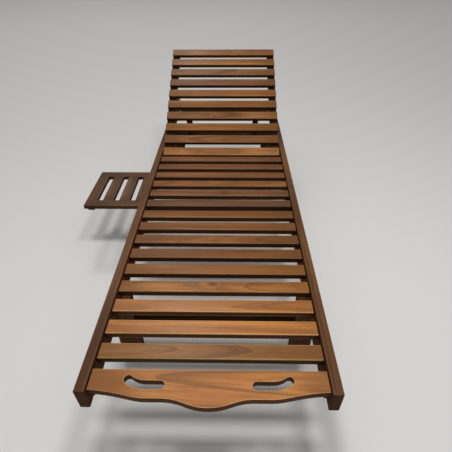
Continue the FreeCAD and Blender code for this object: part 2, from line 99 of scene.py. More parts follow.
class Grain(Enum):
    """Which axes of the part run along a board's grain, across its face and through its depth."""

    ACROSS = (0, 1, 2)
    ALONG = (1, 0, 2)
    ALONG_ON_EDGE = (1, 2, 0)
    UPRIGHT = (2, 0, 1)


@dataclass(frozen=True)
class Sawing:
    """The ranges of a board's place in its log that show one figure.

    A side or a lean whose range lies above zero may go either way.
    """

    depth: Pair
    side: Pair
    lean: Pair
    drift: Pair


class Figure(Enum):
    """How a board was sawn from its log, which sets the figure on its face."""

    STRAIGHT = Sawing(depth=(0.03, 0.06), side=(0.07, 0.12), lean=(-0.015, 0.015), drift=(-0.02, 0.02))
    ARCHED = Sawing(depth=(0.06, 0.075), side=(-0.012, 0.012), lean=(0.04, 0.07), drift=(-0.02, 0.02))
    LEANING = Sawing(depth=(0.05, 0.07), side=(0.03, 0.06), lean=(0.02, 0.04), drift=(-0.05, 0.05))
    HEART = Sawing(depth=(0.018, 0.026), side=(0.004, 0.012), lean=(0.05, 0.08), drift=(-0.04, 0.04))


@dataclass(frozen=True)
class LogCut:
    """Where a board lies in its log: the pith below and beside it, its slant and its shift along it."""

    depth: float
    side: float
    lean: float = 0.0
    drift: float = 0.0
    shift: float = 0.0

    SHIFT_RANGE: ClassVar[Pair] = (-40.0, 40.0)

    @classmethod
    def sawn(cls, figure: Figure, name: str) -> "LogCut":
        """Pick a cut that shows a figure, always the same for the same board.

        Args:
            figure: how the board was sawn.
            name: the board's name, which seeds the choice.

        Returns:
            The cut.
        """
        pick = random.Random(name)
        turn = pick.choice((-1.0, 1.0))
        shift = pick.uniform(*cls.SHIFT_RANGE)
        sawing: Sawing = figure.value
        depth = pick.uniform(*sawing.depth)
        side = pick.uniform(*sawing.side) * (turn if sawing.side[0] > 0.0 else 1.0)
        lean = pick.uniform(*sawing.lean) * (turn if sawing.lean[0] > 0.0 else 1.0)
        return cls(depth, side, lean, pick.uniform(*sawing.drift), shift)

    def matrix(self) -> Matrix:
        """Return the turn and shift from the board's own frame to the log's."""
        slant = Matrix.Rotation(self.lean, 4, "Y") @ Matrix.Rotation(self.drift, 4, "Z")
        return Matrix.Translation((self.shift, self.side, self.depth)) @ slant


class NodeSketch:
    """A node tree being wired, with short methods for the nodes that the finishes use."""

    def __init__(self, tree: bpy.types.NodeTree) -> None:
        """Start on a tree."""
        self.tree = tree

    def add(self, kind: str, **settings: object) -> bpy.types.Node:
        """Add a node.

        Args:
            kind: the node's type.
            settings: properties to set on it.

        Returns:
            The node.
        """
        node = self.tree.nodes.new(kind)
        for name, value in settings.items():
            setattr(node, name, value)
        return node

    def feed(self, socket: bpy.types.NodeSocket, value: Feed) -> None:
        """Link a socket to another one, or set it to a value.

        Args:
            socket: the input.
            value: the socket that feeds it, or a number, vector or colour.
        """
        if isinstance(value, bpy.types.NodeSocket):
            self.tree.links.new(value, socket)
        else:
            socket.default_value = value

    def fill(self, inputs: bpy.types.NodeInputs, values: dict[str, Feed]) -> None:
        """Feed several inputs by their names."""
        for name, value in values.items():
            self.feed(inputs[name], value)

    def math(self, operation: str, *values: Feed, clamp: bool = False) -> bpy.types.NodeSocket:
        """Work out a number from numbers.

        Args:
            operation: what to do with them.
            values: the numbers.
            clamp: whether the result is kept between 0 and 1.

        Returns:
            The result.
        """
        node = self.add("ShaderNodeMath", operation=operation, use_clamp=clamp)
        for socket, value in zip(node.inputs, values):
            self.feed(socket, value)
        return node.outputs[0]

    def scaled(self, place: Feed, factors: Triple) -> bpy.types.NodeSocket:
        """Multiply a place by a factor along each axis.

        Args:
            place: the place.
            factors: the factors.

        Returns:
            The scaled place.
        """
        node = self.add("ShaderNodeVectorMath", operation="MULTIPLY")
        self.feed(node.inputs[0], place)
        self.feed(node.inputs[1], factors)
        return node.outputs["Vector"]

    def length(self, place: Feed) -> bpy.types.NodeSocket:
        """Measure a vector.

        Args:
            place: the vector.

        Returns:
            Its length.
        """
        node = self.add("ShaderNodeVectorMath", operation="LENGTH")
        self.feed(node.inputs[0], place)
        return node.outputs["Value"]

    def split(self, place: Feed) -> bpy.types.NodeOutputs:
        """Take a vector apart.

        Args:
            place: the vector.

        Returns:
            Its three parts.
        """
        node = self.add("ShaderNodeSeparateXYZ")
        self.feed(node.inputs["Vector"], place)
        return node.outputs

    def joined(self, *parts: Feed) -> bpy.types.NodeSocket:
        """Put a vector together.

        Args:
            parts: its parts, of which the last may be left out.

        Returns:
            The vector.
        """
        node = self.add("ShaderNodeCombineXYZ")
        for socket, part in zip(node.inputs, parts):
            self.feed(socket, part)
        return node.outputs["Vector"]

    def noise(self, place: Feed, scale: Triple, detail: float = 2.0,
              roughness: float = 0.5) -> bpy.types.NodeSocket:
        """Read noise at a place.

        Args:
            place: the place.
            scale: how fine the noise is along each axis.
            detail: how many finer layers it has.
            roughness: how strong these are.

        Returns:
            The noise, about 0.5.
        """
        node = self.add("ShaderNodeTexNoise", noise_dimensions="3D")
        self.fill(node.inputs, {"Vector": self.scaled(place, scale), "Scale": 1.0, "Detail": detail,
                                "Roughness": roughness})
        return node.outputs["Fac"]

    def between(self, value: Feed, low: float, high: float) -> bpy.types.NodeSocket:
        """Make a soft step.

        Args:
            value: the number that is tested.
            low: where the step is 0.
            high: where it is 1, which may be the smaller of the two.

        Returns:
            The step.
        """
        node = self.add("ShaderNodeMapRange", interpolation_type="SMOOTHSTEP")
        self.fill(node.inputs, {"Value": value, "From Min": low, "From Max": high})
        return node.outputs["Result"]

    def mix(self, share: Feed, first: Feed, second: Feed) -> bpy.types.NodeSocket:
        """Mix two colours.

        Args:
            share: the share of the second one.
            first: the first colour.
            second: the second colour.

        Returns:
            The mixed colour.
        """
        node = self.add("ShaderNodeMix", data_type="RGBA")
        colours = [socket for socket in node.inputs if socket.type == "RGBA"]
        self.feed(node.inputs[0], share)
        self.feed(colours[0], first)
        self.feed(colours[1], second)
        return next(socket for socket in node.outputs if socket.type == "RGBA")

    def attribute(self, name: str) -> bpy.types.Node:
        """Return the node that reads one of a board's own attributes."""
        return self.add("ShaderNodeAttribute", attribute_name=name)

    def object_place(self) -> bpy.types.NodeSocket:
        """Return a surface's own place in the part."""
        return self.add("ShaderNodeTexCoord").outputs["Object"]

    def use(self, group: bpy.types.NodeTree, **feeds: Feed) -> bpy.types.NodeOutputs:
        """Place a node group and feed its inputs, whose names have spaces for underscores.

        Args:
            group: the node group.
            feeds: what goes into its inputs.

        Returns:
            What the group puts out.
        """
        node = self.add("ShaderNodeGroup", node_tree=group)
        self.fill(node.inputs, {name.replace("_", " ").capitalize(): value for name, value in feeds.items()})
        return node.outputs


class Effect:
    """A shared effect of the finishes, kept as a shader node group that is built once.

    In the effects, a scale says how fine a noise is along, across and through the log, and an edge
    gives the values between which a mark goes from nothing to full.
    """

    name: ClassVar[str] = ""
    inputs: ClassVar[dict[str, str]] = {}
    outputs: ClassVar[tuple[str, ...]] = ()
    _built: ClassVar[dict[str, bpy.types.NodeTree]] = {}

    @classmethod
    def group(cls) -> bpy.types.NodeTree:
        """Build the effect's node group, if it isn't built yet.

        Returns:
            The node group.
        """
        if cls.name not in Effect._built:
            tree = bpy.data.node_groups.new(cls.name, "ShaderNodeTree")
            for name, kind in cls.inputs.items():
                tree.interface.new_socket(name, in_out="INPUT", socket_type="NodeSocket" + kind)
            for name in cls.outputs:
                tree.interface.new_socket(name, in_out="OUTPUT", socket_type="NodeSocketFloat")
            sketch = NodeSketch(tree)
            given = sketch.add("NodeGroupInput").outputs
            taken = sketch.add("NodeGroupOutput").inputs
            sketch.fill(taken, cls.wire(sketch, given))
            Effect._built[cls.name] = tree
        return Effect._built[cls.name]

    @classmethod
    def wire(cls, sketch: NodeSketch, given: bpy.types.NodeOutputs) -> dict[str, Feed]:
        """Wire the effect between its inputs and its outputs."""
        raise NotImplementedError


class TeakFigure(Effect):
    """Rings, a dark ring at the heart, streaks, cloudy tone, pores and knots of teak, and painted shade towards
    the ends of a board.
    """

    name = "Teak figure"
    inputs = {"Log place": "Vector", "Knot place": "Vector", "Reach": "Float", "Wander": "Float"}
    outputs = ("Rings", "Bands", "Heart", "Streaks", "Cloud", "Pores", "Knot", "Soak")

    RINGS_PER_METRE: ClassVar[float] = 105.0
    WOBBLE_SCALE: ClassVar[Triple] = (3.0, 15.0, 15.0)
    WOBBLE: ClassVar[float] = 0.014
    WAVER_SCALE: ClassVar[Triple] = (14.0, 60.0, 60.0)
    WAVER: ClassVar[float] = 0.0025
    SWIRL_EDGE: ClassVar[Pair] = (0.045, 0.0)
    SWIRL: ClassVar[float] = 0.01
    KNOT_SHAPE: ClassVar[Triple] = (0.6, 1.0, 0.0)
    KNOT_EDGE: ClassVar[Pair] = (0.015, 0.003)
    RAGGED_SCALE: ClassVar[Triple] = (60.0, 160.0, 160.0)
    RAGGED_SHARE: ClassVar[float] = 1.2
    ROUND_SHARE: ClassVar[float] = 0.4
    BROAD_EDGE: ClassVar[Pair] = (0.3, 0.9)
    BROAD_SHARE: ClassVar[float] = 0.35
    LATE_EDGE: ClassVar[Pair] = (0.8, 0.94)
    LATE_SHARE: ClassVar[float] = 0.65
    RING_END: ClassVar[Pair] = (1.0, 0.94)
    RING_STRENGTH: ClassVar[Pair] = (0.15, 0.9)
    HEART_AGE: ClassVar[float] = 4.2
    HEART_FADE: ClassVar[float] = 0.75
    HEART_RIM: ClassVar[float] = 0.05
    BAND_SCALE: ClassVar[Triple] = (0.75, 0.3, 0.0)
    BAND_EDGE: ClassVar[Pair] = (0.36, 0.64)
    STREAK_SCALE: ClassVar[Triple] = (3.2, 85.0, 85.0)
    STREAK_EDGE: ClassVar[Pair] = (0.48, 0.72)
    CLOUD_SCALE: ClassVar[Triple] = (3.0, 20.0, 20.0)
    CLOUD_EDGE: ClassVar[Pair] = (0.36, 0.64)
    PORE_SCALE: ClassVar[Triple] = (70.0, 1900.0, 1900.0)
    PORE_EDGE: ClassVar[Pair] = (0.58, 0.72)
    END_SHADE_CLOUD: ClassVar[float] = 0.5
    END_SHADE_EDGE: ClassVar[Pair] = (0.75, 1.2)

    @classmethod
    def wire(cls, sketch: NodeSketch, given: bpy.types.NodeOutputs) -> dict[str, Feed]:
        """Wire the figure.

        Args:
            sketch: the group's nodes.
            given: the group's inputs.

        Returns:
            The group's outputs.
        """
        place = given["Log place"]
        ragged = sketch.noise(place, cls.RAGGED_SCALE)
        from_knot = sketch.length(sketch.scaled(given["Knot place"], cls.KNOT_SHAPE))
        from_knot = sketch.math("MULTIPLY", from_knot, sketch.math(
            "MULTIPLY_ADD", ragged, cls.RAGGED_SHARE, cls.ROUND_SHARE))
        age = cls.age(sketch, place, from_knot, given["Wander"])
        years = sketch.joined(age, sketch.split(place)["X"])
        bands = sketch.noise(years, cls.BAND_SCALE, detail=1.0)
        streaks = sketch.noise(place, cls.STREAK_SCALE, detail=4.0, roughness=0.65)
        cloud = sketch.noise(place, cls.CLOUD_SCALE)
        pores = sketch.noise(place, cls.PORE_SCALE, detail=1.0)
        fading = sketch.between(age, cls.HEART_AGE - cls.HEART_FADE, cls.HEART_AGE - cls.HEART_RIM)
        inside = sketch.between(age, cls.HEART_AGE + cls.HEART_RIM, cls.HEART_AGE)
        # Painted shade: darker towards each end of a board, broken up by the cloud noise.
        painted_end_shade = sketch.math("MULTIPLY_ADD", cloud, cls.END_SHADE_CLOUD, sketch.math("ABSOLUTE", given["Reach"]))
        return {
            "Rings": cls.rings(sketch, age),
            "Bands": sketch.between(bands, *cls.BAND_EDGE),
            "Heart": sketch.math("MULTIPLY", fading, inside),
            "Streaks": sketch.between(streaks, *cls.STREAK_EDGE),
            "Cloud": sketch.between(cloud, *cls.CLOUD_EDGE),
            "Pores": sketch.between(pores, *cls.PORE_EDGE),
            "Knot": sketch.between(from_knot, *cls.KNOT_EDGE),
            "Soak": sketch.between(painted_end_shade, *cls.END_SHADE_EDGE),
        }

    @classmethod
    def age(cls, sketch: NodeSketch, place: Feed, from_knot: Feed, wander: Feed) -> bpy.types.NodeSocket:
        """Work out the wood's age in rings from the pith, bent round a knot and wandering a little.

        Args:
            sketch: the group's nodes.
            place: the place in the log.
            from_knot: the distance from the knot.
            wander: how far the rings wander.

        Returns:
            The age.
        """
        radius = sketch.length(sketch.scaled(place, (0.0, 1.0, 1.0)))
        for scale, detail, reach in ((cls.WOBBLE_SCALE, 2.0, cls.WOBBLE), (cls.WAVER_SCALE, 1.0, cls.WAVER)):
            sway = sketch.math("SUBTRACT", sketch.noise(place, scale, detail), 0.5)
            sway = sketch.math("MULTIPLY", sway, wander)
            radius = sketch.math("MULTIPLY_ADD", sway, reach, radius)
        swirl = sketch.math("POWER", sketch.between(from_knot, *cls.SWIRL_EDGE), 2.0)
        radius = sketch.math("MULTIPLY_ADD", swirl, cls.SWIRL, radius)
        return sketch.math("MULTIPLY", radius, cls.RINGS_PER_METRE)

    @classmethod
    def rings(cls, sketch: NodeSketch, age: Feed) -> bpy.types.NodeSocket:
        """Draw the rings: thin late wood over a faint broad shade, some rings stronger than others.

        Args:
            sketch: the group's nodes.
            age: the wood's age in rings.

        Returns:
            How dark the rings are.
        """
        share = sketch.math("FRACT", age)
        broad = sketch.math("MULTIPLY", sketch.between(share, *cls.BROAD_EDGE), cls.BROAD_SHARE)
        late = sketch.math("MULTIPLY_ADD", sketch.between(share, *cls.LATE_EDGE), cls.LATE_SHARE, broad)
        late = sketch.math("MULTIPLY", late, sketch.between(share, *cls.RING_END))
        strength = sketch.add("ShaderNodeTexWhiteNoise", noise_dimensions="1D")
        sketch.feed(strength.inputs["W"], sketch.math("FLOOR", age))
        return sketch.math("MULTIPLY", late, sketch.between(strength.outputs["Value"], *cls.RING_STRENGTH))


class ArrisWearAndHighlight(Effect):
    """Where the rounded edges of a board are painted pale, in uneven stretches: partly rubbed wear and partly
    painted highlight.
    """

    name = "Arris wear"
    inputs = {"Arris": "Float", "Place": "Vector", "Amount": "Float"}
    outputs = ("Worn",)

    PATCH_SCALE: ClassVar[Triple] = (14.0, 60.0, 60.0)
    PATCH_SWING: ClassVar[float] = 0.9
    PALE_ARRIS_EDGE: ClassVar[Pair] = (0.35, 1.0)

    @classmethod
    def wire(cls, sketch: NodeSketch, given: bpy.types.NodeOutputs) -> dict[str, Feed]:
        """Wire the wear.

        Args:
            sketch: the group's nodes.
            given: the group's inputs.

        Returns:
            The group's outputs.
        """
        patches = sketch.noise(given["Place"], cls.PATCH_SCALE, detail=3.0, roughness=0.6)
        patches = sketch.math("MULTIPLY_ADD", patches, cls.PATCH_SWING, -cls.PATCH_SWING / 2.0)
        worn = sketch.between(sketch.math("ADD", given["Arris"], patches), *cls.PALE_ARRIS_EDGE)
        return {"Worn": sketch.math("MULTIPLY", worn, given["Amount"])}


class OilSheen(Effect):
    """How unevenly oil has soaked in: the roughness of a board and the height of its open pores."""

    name = "Oil sheen"
    inputs = {"Place": "Vector", "Pores": "Float", "Streaks": "Float", "Dryness": "Float"}
    outputs = ("Roughness", "Height")

    SOAK_SCALE: ClassVar[Triple] = (5.0, 30.0, 30.0)
    SOAK_ROUGHNESS: ClassVar[float] = 0.16
    PORE_ROUGHNESS: ClassVar[float] = 0.14
    PORE_DEPTH: ClassVar[float] = 0.7
    STREAK_DEPTH: ClassVar[float] = 0.3

    @classmethod
    def wire(cls, sketch: NodeSketch, given: bpy.types.NodeOutputs) -> dict[str, Feed]:
        """Wire the sheen.

        Args:
            sketch: the group's nodes.
            given: the group's inputs.

        Returns:
            The group's outputs.
        """
        soak = sketch.noise(given["Place"], cls.SOAK_SCALE, detail=3.0)
        rough = sketch.math("MULTIPLY_ADD", soak, cls.SOAK_ROUGHNESS, given["Dryness"])
        rough = sketch.math("MULTIPLY_ADD", given["Pores"], cls.PORE_ROUGHNESS, rough, clamp=True)
        height = sketch.math("MULTIPLY_ADD", given["Pores"], -cls.PORE_DEPTH, 1.0)
        height = sketch.math("MULTIPLY_ADD", given["Streaks"], -cls.STREAK_DEPTH, height)
        return {"Roughness": rough, "Height": height}


class SteelBrushing(Effect):
    """Fine turning marks and a little staining on stainless steel."""

    name = "Steel brushing"
    inputs = {"Place": "Vector"}
    outputs = ("Marks", "Roughness")

    MARK_SCALE: ClassVar[Triple] = (300.0, 2600.0, 2600.0)
    MARK_ROUGHNESS: ClassVar[float] = 0.2
    PLAIN_ROUGHNESS: ClassVar[float] = 0.22
    STAIN_SCALE: ClassVar[Triple] = (160.0, 160.0, 160.0)
    STAIN_EDGE: ClassVar[Pair] = (0.4, 0.7)

    @classmethod
    def wire(cls, sketch: NodeSketch, given: bpy.types.NodeOutputs) -> dict[str, Feed]:
        """Wire the marks.

        Args:
            sketch: the group's nodes.
            given: the group's inputs.

        Returns:
            The group's outputs.
        """
        marks = sketch.noise(given["Place"], cls.MARK_SCALE)
        stain = sketch.noise(given["Place"], cls.STAIN_SCALE)
        rough = sketch.math("MULTIPLY_ADD", marks, cls.MARK_ROUGHNESS, cls.PLAIN_ROUGHNESS)
        return {"Marks": sketch.between(stain, *cls.STAIN_EDGE), "Roughness": rough}


def opaque(colour: Triple) -> Opaque:
    """Return a colour with full alpha."""
    return (*colour, 1.0)


def new_material(name: str) -> tuple[bpy.types.Material, NodeSketch, bpy.types.NodeInputs]:
    """Start a material.

    Args:
        name: the material's name.

    Returns:
        The material, its nodes and its shader's inputs.
    """
    made = bpy.data.materials.new(name)
    made.use_nodes = True
    return made, NodeSketch(made.node_tree), made.node_tree.nodes["Principled BSDF"].inputs


@dataclass(frozen=True)
class TeakFinish:
    """One shade of oiled teak.

    The fields are the linear colour of its pale wood; the tones against that of its dark wood, its
    streaks, its pale arrises and its painted shade; how strongly bands, clouds, the painted shade towards
    each end, rings, the heart ring, streaks, pores and knots show; how far the rings wander; how strongly
    the arrises are painted pale, partly as rubbed wear and partly as painted highlight; how strongly the
    painted shade darkens its sides, ends and undersides, which on the ends also stands for darker end
    grain; how dry its surface is; and how much it shines.
    """

    pale: Triple
    dark_tone: Triple = (0.57, 0.53, 0.48)
    streak_tone: Triple = (0.28, 0.25, 0.23)
    # Tone of the pale arrises: partly rubbed wear, partly painted highlight.
    arris_wear_and_highlight_tone: Triple = (1.1, 1.5, 2.4)
    # Tone of the painted shade on sides, ends and undersides, which on the ends also stands for darker end grain.
    painted_shade_and_end_grain_tone: Triple = (0.1, 0.085, 0.07)
    bands: float = 0.85
    cloud: float = 0.8
    # Share of painted shade towards each end of a board.
    soak: float = 0.35
    rings: float = 0.6
    heart: float = 0.65
    streaks: float = 0.55
    pores: float = 0.3
    knot: float = 0.8
    wander: float = 1.0
    wear: float = 0.3
    shelter: float = 0.88
    dryness: float = 0.26
    gloss: float = 0.16

    SAWN_ROUGHNESS: ClassVar[float] = 0.45
    BUMP_STRENGTH: ClassVar[float] = 0.22
    BUMP_DISTANCE: ClassVar[float] = 0.0005

    def toned(self, tone: Triple) -> Opaque:
        """Return the pale wood's colour in another tone, with full alpha."""
        return opaque(tuple(part * share for part, share in zip(self.pale, tone)))

    def material(self, name: str, turned: Optional[Grain] = None) -> bpy.types.Material:
        """Make the finish as a material.

        Args:
            name: the material's name.
            turned: for a solid without board attributes, the way its grain runs.

        Returns:
            The material.
        """
        made, sketch, shader = new_material(name)
        if turned is None:
            place = sketch.attribute(LOG_PLACE).outputs["Vector"]
            knot: Feed = sketch.attribute(KNOT_PLACE).outputs["Vector"]
        else:
            parts = sketch.split(sketch.object_place())
            place = sketch.joined(*(parts[axis] for axis in turned.value))
            knot = tuple(FAR_FROM_KNOTS)
        reach, arris, painted_shade_and_end_grain_mask = (sketch.attribute(mark).outputs["Fac"] for mark in (REACH, ARRIS, PAINTED_SHADE_AND_END_GRAIN))
        figure = sketch.use(TeakFigure.group(), log_place=place, knot_place=knot, reach=reach,
                            wander=self.wander)
        sheen = sketch.use(OilSheen.group(), place=place, pores=figure["Pores"],
                           streaks=figure["Streaks"], dryness=self.dryness)
        # Pale arrises: partly rubbed wear, partly painted highlight along the rounded edges.
        wear = sketch.use(ArrisWearAndHighlight.group(), arris=arris, place=place, amount=self.wear)
        # Painted shade: sides, ends and undersides are mixed towards a dark tone (on the ends also darker end
        # grain); the same mask makes them rougher.
        colour = sketch.mix(sketch.math("MULTIPLY", painted_shade_and_end_grain_mask, self.shelter), self._colour(sketch, figure),
                            self.toned(self.painted_shade_and_end_grain_tone))
        bump = sketch.add("ShaderNodeBump")
        sketch.fill(bump.inputs, {"Strength": self.BUMP_STRENGTH, "Distance": self.BUMP_DISTANCE,
                                  "Height": sheen["Height"]})
        sketch.fill(shader, {
            "Base Color": sketch.mix(wear["Worn"], colour, self.toned(self.arris_wear_and_highlight_tone)),
            "Roughness": sketch.math("MULTIPLY_ADD", painted_shade_and_end_grain_mask, self.SAWN_ROUGHNESS, sheen["Roughness"],
                                     clamp=True),
            "Normal": bump.outputs["Normal"],
            "Specular IOR Level": self.gloss})
        return made

    def _colour(self, sketch: NodeSketch, figure: bpy.types.NodeOutputs) -> Feed:
        """Lay the figure's colours over each other, from the pale wood to the knots.

        Args:
            sketch: the material's nodes.
            figure: what the figure's group puts out.

        Returns:
            The colour of a flat, open face.
        """
        colour: Feed = opaque(self.pale)
        for mask, share, tone in (
                ("Bands", self.bands, self.dark_tone), ("Cloud", self.cloud, self.dark_tone),
                ("Soak", self.soak, self.streak_tone), ("Rings", self.rings, self.streak_tone),
                ("Heart", self.heart, self.streak_tone), ("Streaks", self.streaks, self.streak_tone),
                ("Pores", self.pores, self.streak_tone), ("Knot", self.knot, self.streak_tone)):
            colour = sketch.mix(sketch.math("MULTIPLY", figure[mask], share), colour, self.toned(tone))
        return colour


@dataclass(frozen=True)
class SteelFinish:
    """Stainless steel of the bolts, screws and pivot rod."""

    bright: Triple = (0.56, 0.56, 0.57)
    stained: Triple = (0.36, 0.34, 0.32)

    def material(self, name: str) -> bpy.types.Material:
        """Make the finish as a material.

        Args:
            name: the material's name.

        Returns:
            The material.
        """
        made, sketch, shader = new_material(name)
        brushing = sketch.use(SteelBrushing.group(), place=sketch.object_place())
        sketch.fill(shader, {
            "Base Color": sketch.mix(brushing["Marks"], opaque(self.bright), opaque(self.stained)),
            "Roughness": brushing["Roughness"],
            "Metallic": 1.0})
        return made


class Teak(Enum):
    """The shades that the boards were sorted into, and one near-black teak of painted shade."""

    HONEY = TeakFinish((0.565, 0.218, 0.043), heart=0.5, wander=0.5, wear=0.75, gloss=0.28)
    FLAME = TeakFinish((0.58, 0.232, 0.056), bands=0.35, soak=0.65, rings=0.3, wander=0.12, wear=1.0,
                       gloss=0.22)
    STRAW = TeakFinish((0.47, 0.2, 0.056))
    AMBER = TeakFinish((0.385, 0.155, 0.037))
    CHESTNUT = TeakFinish((0.34, 0.141, 0.042))
    TAWNY = TeakFinish((0.285, 0.112, 0.028))
    UMBER = TeakFinish((0.27, 0.109, 0.038))
    SEPIA = TeakFinish((0.178, 0.08, 0.031))
    ASH = TeakFinish((0.335, 0.136, 0.024), wear=0.9, gloss=0.28)
    RUSSET = TeakFinish((0.168, 0.068, 0.021), wear=0.25, shelter=0.25, dryness=0.3)
    SMOKED = TeakFinish((0.162, 0.081, 0.038), wear=0.2, shelter=0.5, dryness=0.36)
    # Painted shade: pieces seen mostly in shade under and between the slats (cross rails, ledgers, racks, guides,
    # stiles, prop) are made near black.
    SHADED = TeakFinish((0.06, 0.025, 0.009), wear=0.1, shelter=0.3, dryness=0.45, gloss=0.05)


class FinishShelf:
    """Keeps each finish as one material, made when it is first asked for."""

    STEEL: ClassVar[str] = "stainless_steel"

    def __init__(self) -> None:
        """Start with no materials."""
        self._made: dict[str, bpy.types.Material] = {}

    def teak(self, shade: Teak, turned: Optional[Grain] = None) -> bpy.types.Material:
        """Take a shade of teak from the shelf.

        Args:
            shade: the shade.
            turned: for a solid without board attributes, the way its grain runs.

        Returns:
            The material.
        """
        name = "teak_" + shade.name.lower() + ("" if turned is None else "_" + turned.name.lower())
        if name not in self._made:
            self._made[name] = shade.value.material(name, turned)
        return self._made[name]

    def steel(self) -> bpy.types.Material:
        """Take the stainless steel from the shelf.

        Returns:
            The material.
        """
        if self.STEEL not in self._made:
            self._made[self.STEEL] = SteelFinish().material(self.STEEL)
        return self._made[self.STEEL]


SHELF = FinishShelf()


def new_object(name: str, bm: bmesh.types.BMesh) -> bpy.types.Object:
    """Turn a bmesh into an object of the scene.

    Args:
        name: the object's name.
        bm: the mesh, which is freed.

    Returns:
        The object.
    """
    mesh = bpy.data.meshes.new(name)
    bm.to_mesh(mesh)
    bm.free()
    made = bpy.data.objects.new(name, mesh)
    bpy.context.scene.collection.objects.link(made)
    return made


def install(piece: bpy.types.Object, node: str, material: bpy.types.Material) -> None:
    """Dress a piece, and let it ride and stand for the solid that it was modelled on.

    Args:
        piece: the finished piece.
        node: the solid's node.
        material: what the piece is made of.
    """
    piece.data.materials.clear()
    piece.data.materials.append(material)
    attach(piece, BODY_OF_NODE[node])
    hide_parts(node)
    log.info("%s stands for %s", piece.name, node)


def dress(node: str, material: bpy.types.Material) -> None:
    """Give a solid that stays as it is its material.

    Args:
        node: the solid's node.
        material: what it is made of.
    """
    solid = frame["nodes"][node]
    solid.data.materials.clear()
    solid.data.materials.append(material)
    log.info("%s keeps its solid", node)


def box_in(node: str, turn: Matrix) -> tuple[Vector, Vector]:
    """Measure a solid in a turned frame.

    Args:
        node: the solid's node.
        turn: from the turned frame to the part's.

    Returns:
        The lowest and the highest corner in the turned frame.
    """
    back = turn.inverted()
    places = [back @ vert.co for vert in frame["nodes"][node].data.vertices]
    low = Vector([min(place[axis] for place in places) for axis in range(3)])
    high = Vector([max(place[axis] for place in places) for axis in range(3)])
    return low, high


def box_mesh(low: Vector, high: Vector) -> bmesh.types.BMesh:
    """Make a box.

    Args:
        low: its lowest corner.
        high: its highest corner.

    Returns:
        The box.
    """
    bm = bmesh.new()
    bmesh.ops.create_cube(bm, size=1.0)
    bmesh.ops.scale(bm, vec=high - low, verts=bm.verts)
    bmesh.ops.translate(bm, vec=(low + high) / 2.0, verts=bm.verts)
    return bm


def add_rod(bm: bmesh.types.BMesh, middle: Vector, radius: float, length: float, sides: int) -> None:
    """Add a straight rod that lies across the bed.

    Args:
        bm: the mesh that it goes into.
        middle: its middle.
        radius: its radius.
        length: its length.
        sides: how many sides it has round its axis.
    """
    made = bmesh.ops.create_cone(bm, cap_ends=True, segments=sides, radius1=radius, radius2=radius,
                                 depth=length)
    bmesh.ops.rotate(bm, matrix=Matrix.Rotation(math.pi / 2.0, 3, "Y"), verts=made["verts"])
    bmesh.ops.translate(bm, vec=middle, verts=made["verts"])


def arc(middle: Pair, radius: float, start: float, stop: float, steps: int) -> list[Pair]:
    """Lay points along an arc.

    Args:
        middle: its middle.
        radius: its radius.
        start: the angle of its first point.
        stop: the angle of its last point.
        steps: how many steps it has.

    Returns:
        The points.
    """
    angles = [start + (stop - start) * step / steps for step in range(steps + 1)]
    return [(middle[0] + radius * math.sin(angle), middle[1] + radius * math.cos(angle)) for angle in angles]


def carve(board: bpy.types.Object, cutter: bmesh.types.BMesh) -> None:
    """Cut a shape out of a board.

    Args:
        board: the board, whose mesh is replaced.
        cutter: the shape, which is used up.
    """
    bmesh.ops.recalc_face_normals(cutter, faces=cutter.faces)
    tool = new_object(board.name + "_cutter", cutter)
    step = board.modifiers.new("carve", "BOOLEAN")
    step.operation = "DIFFERENCE"
    step.solver = "EXACT"
    step.object = tool
    bpy.context.view_layer.update()
    carved = bpy.data.meshes.new_from_object(board.evaluated_get(bpy.context.evaluated_depsgraph_get()))
    board.modifiers.clear()
    whole = board.data
    board.data = carved
    bpy.data.meshes.remove(whole)
    bpy.data.objects.remove(tool)


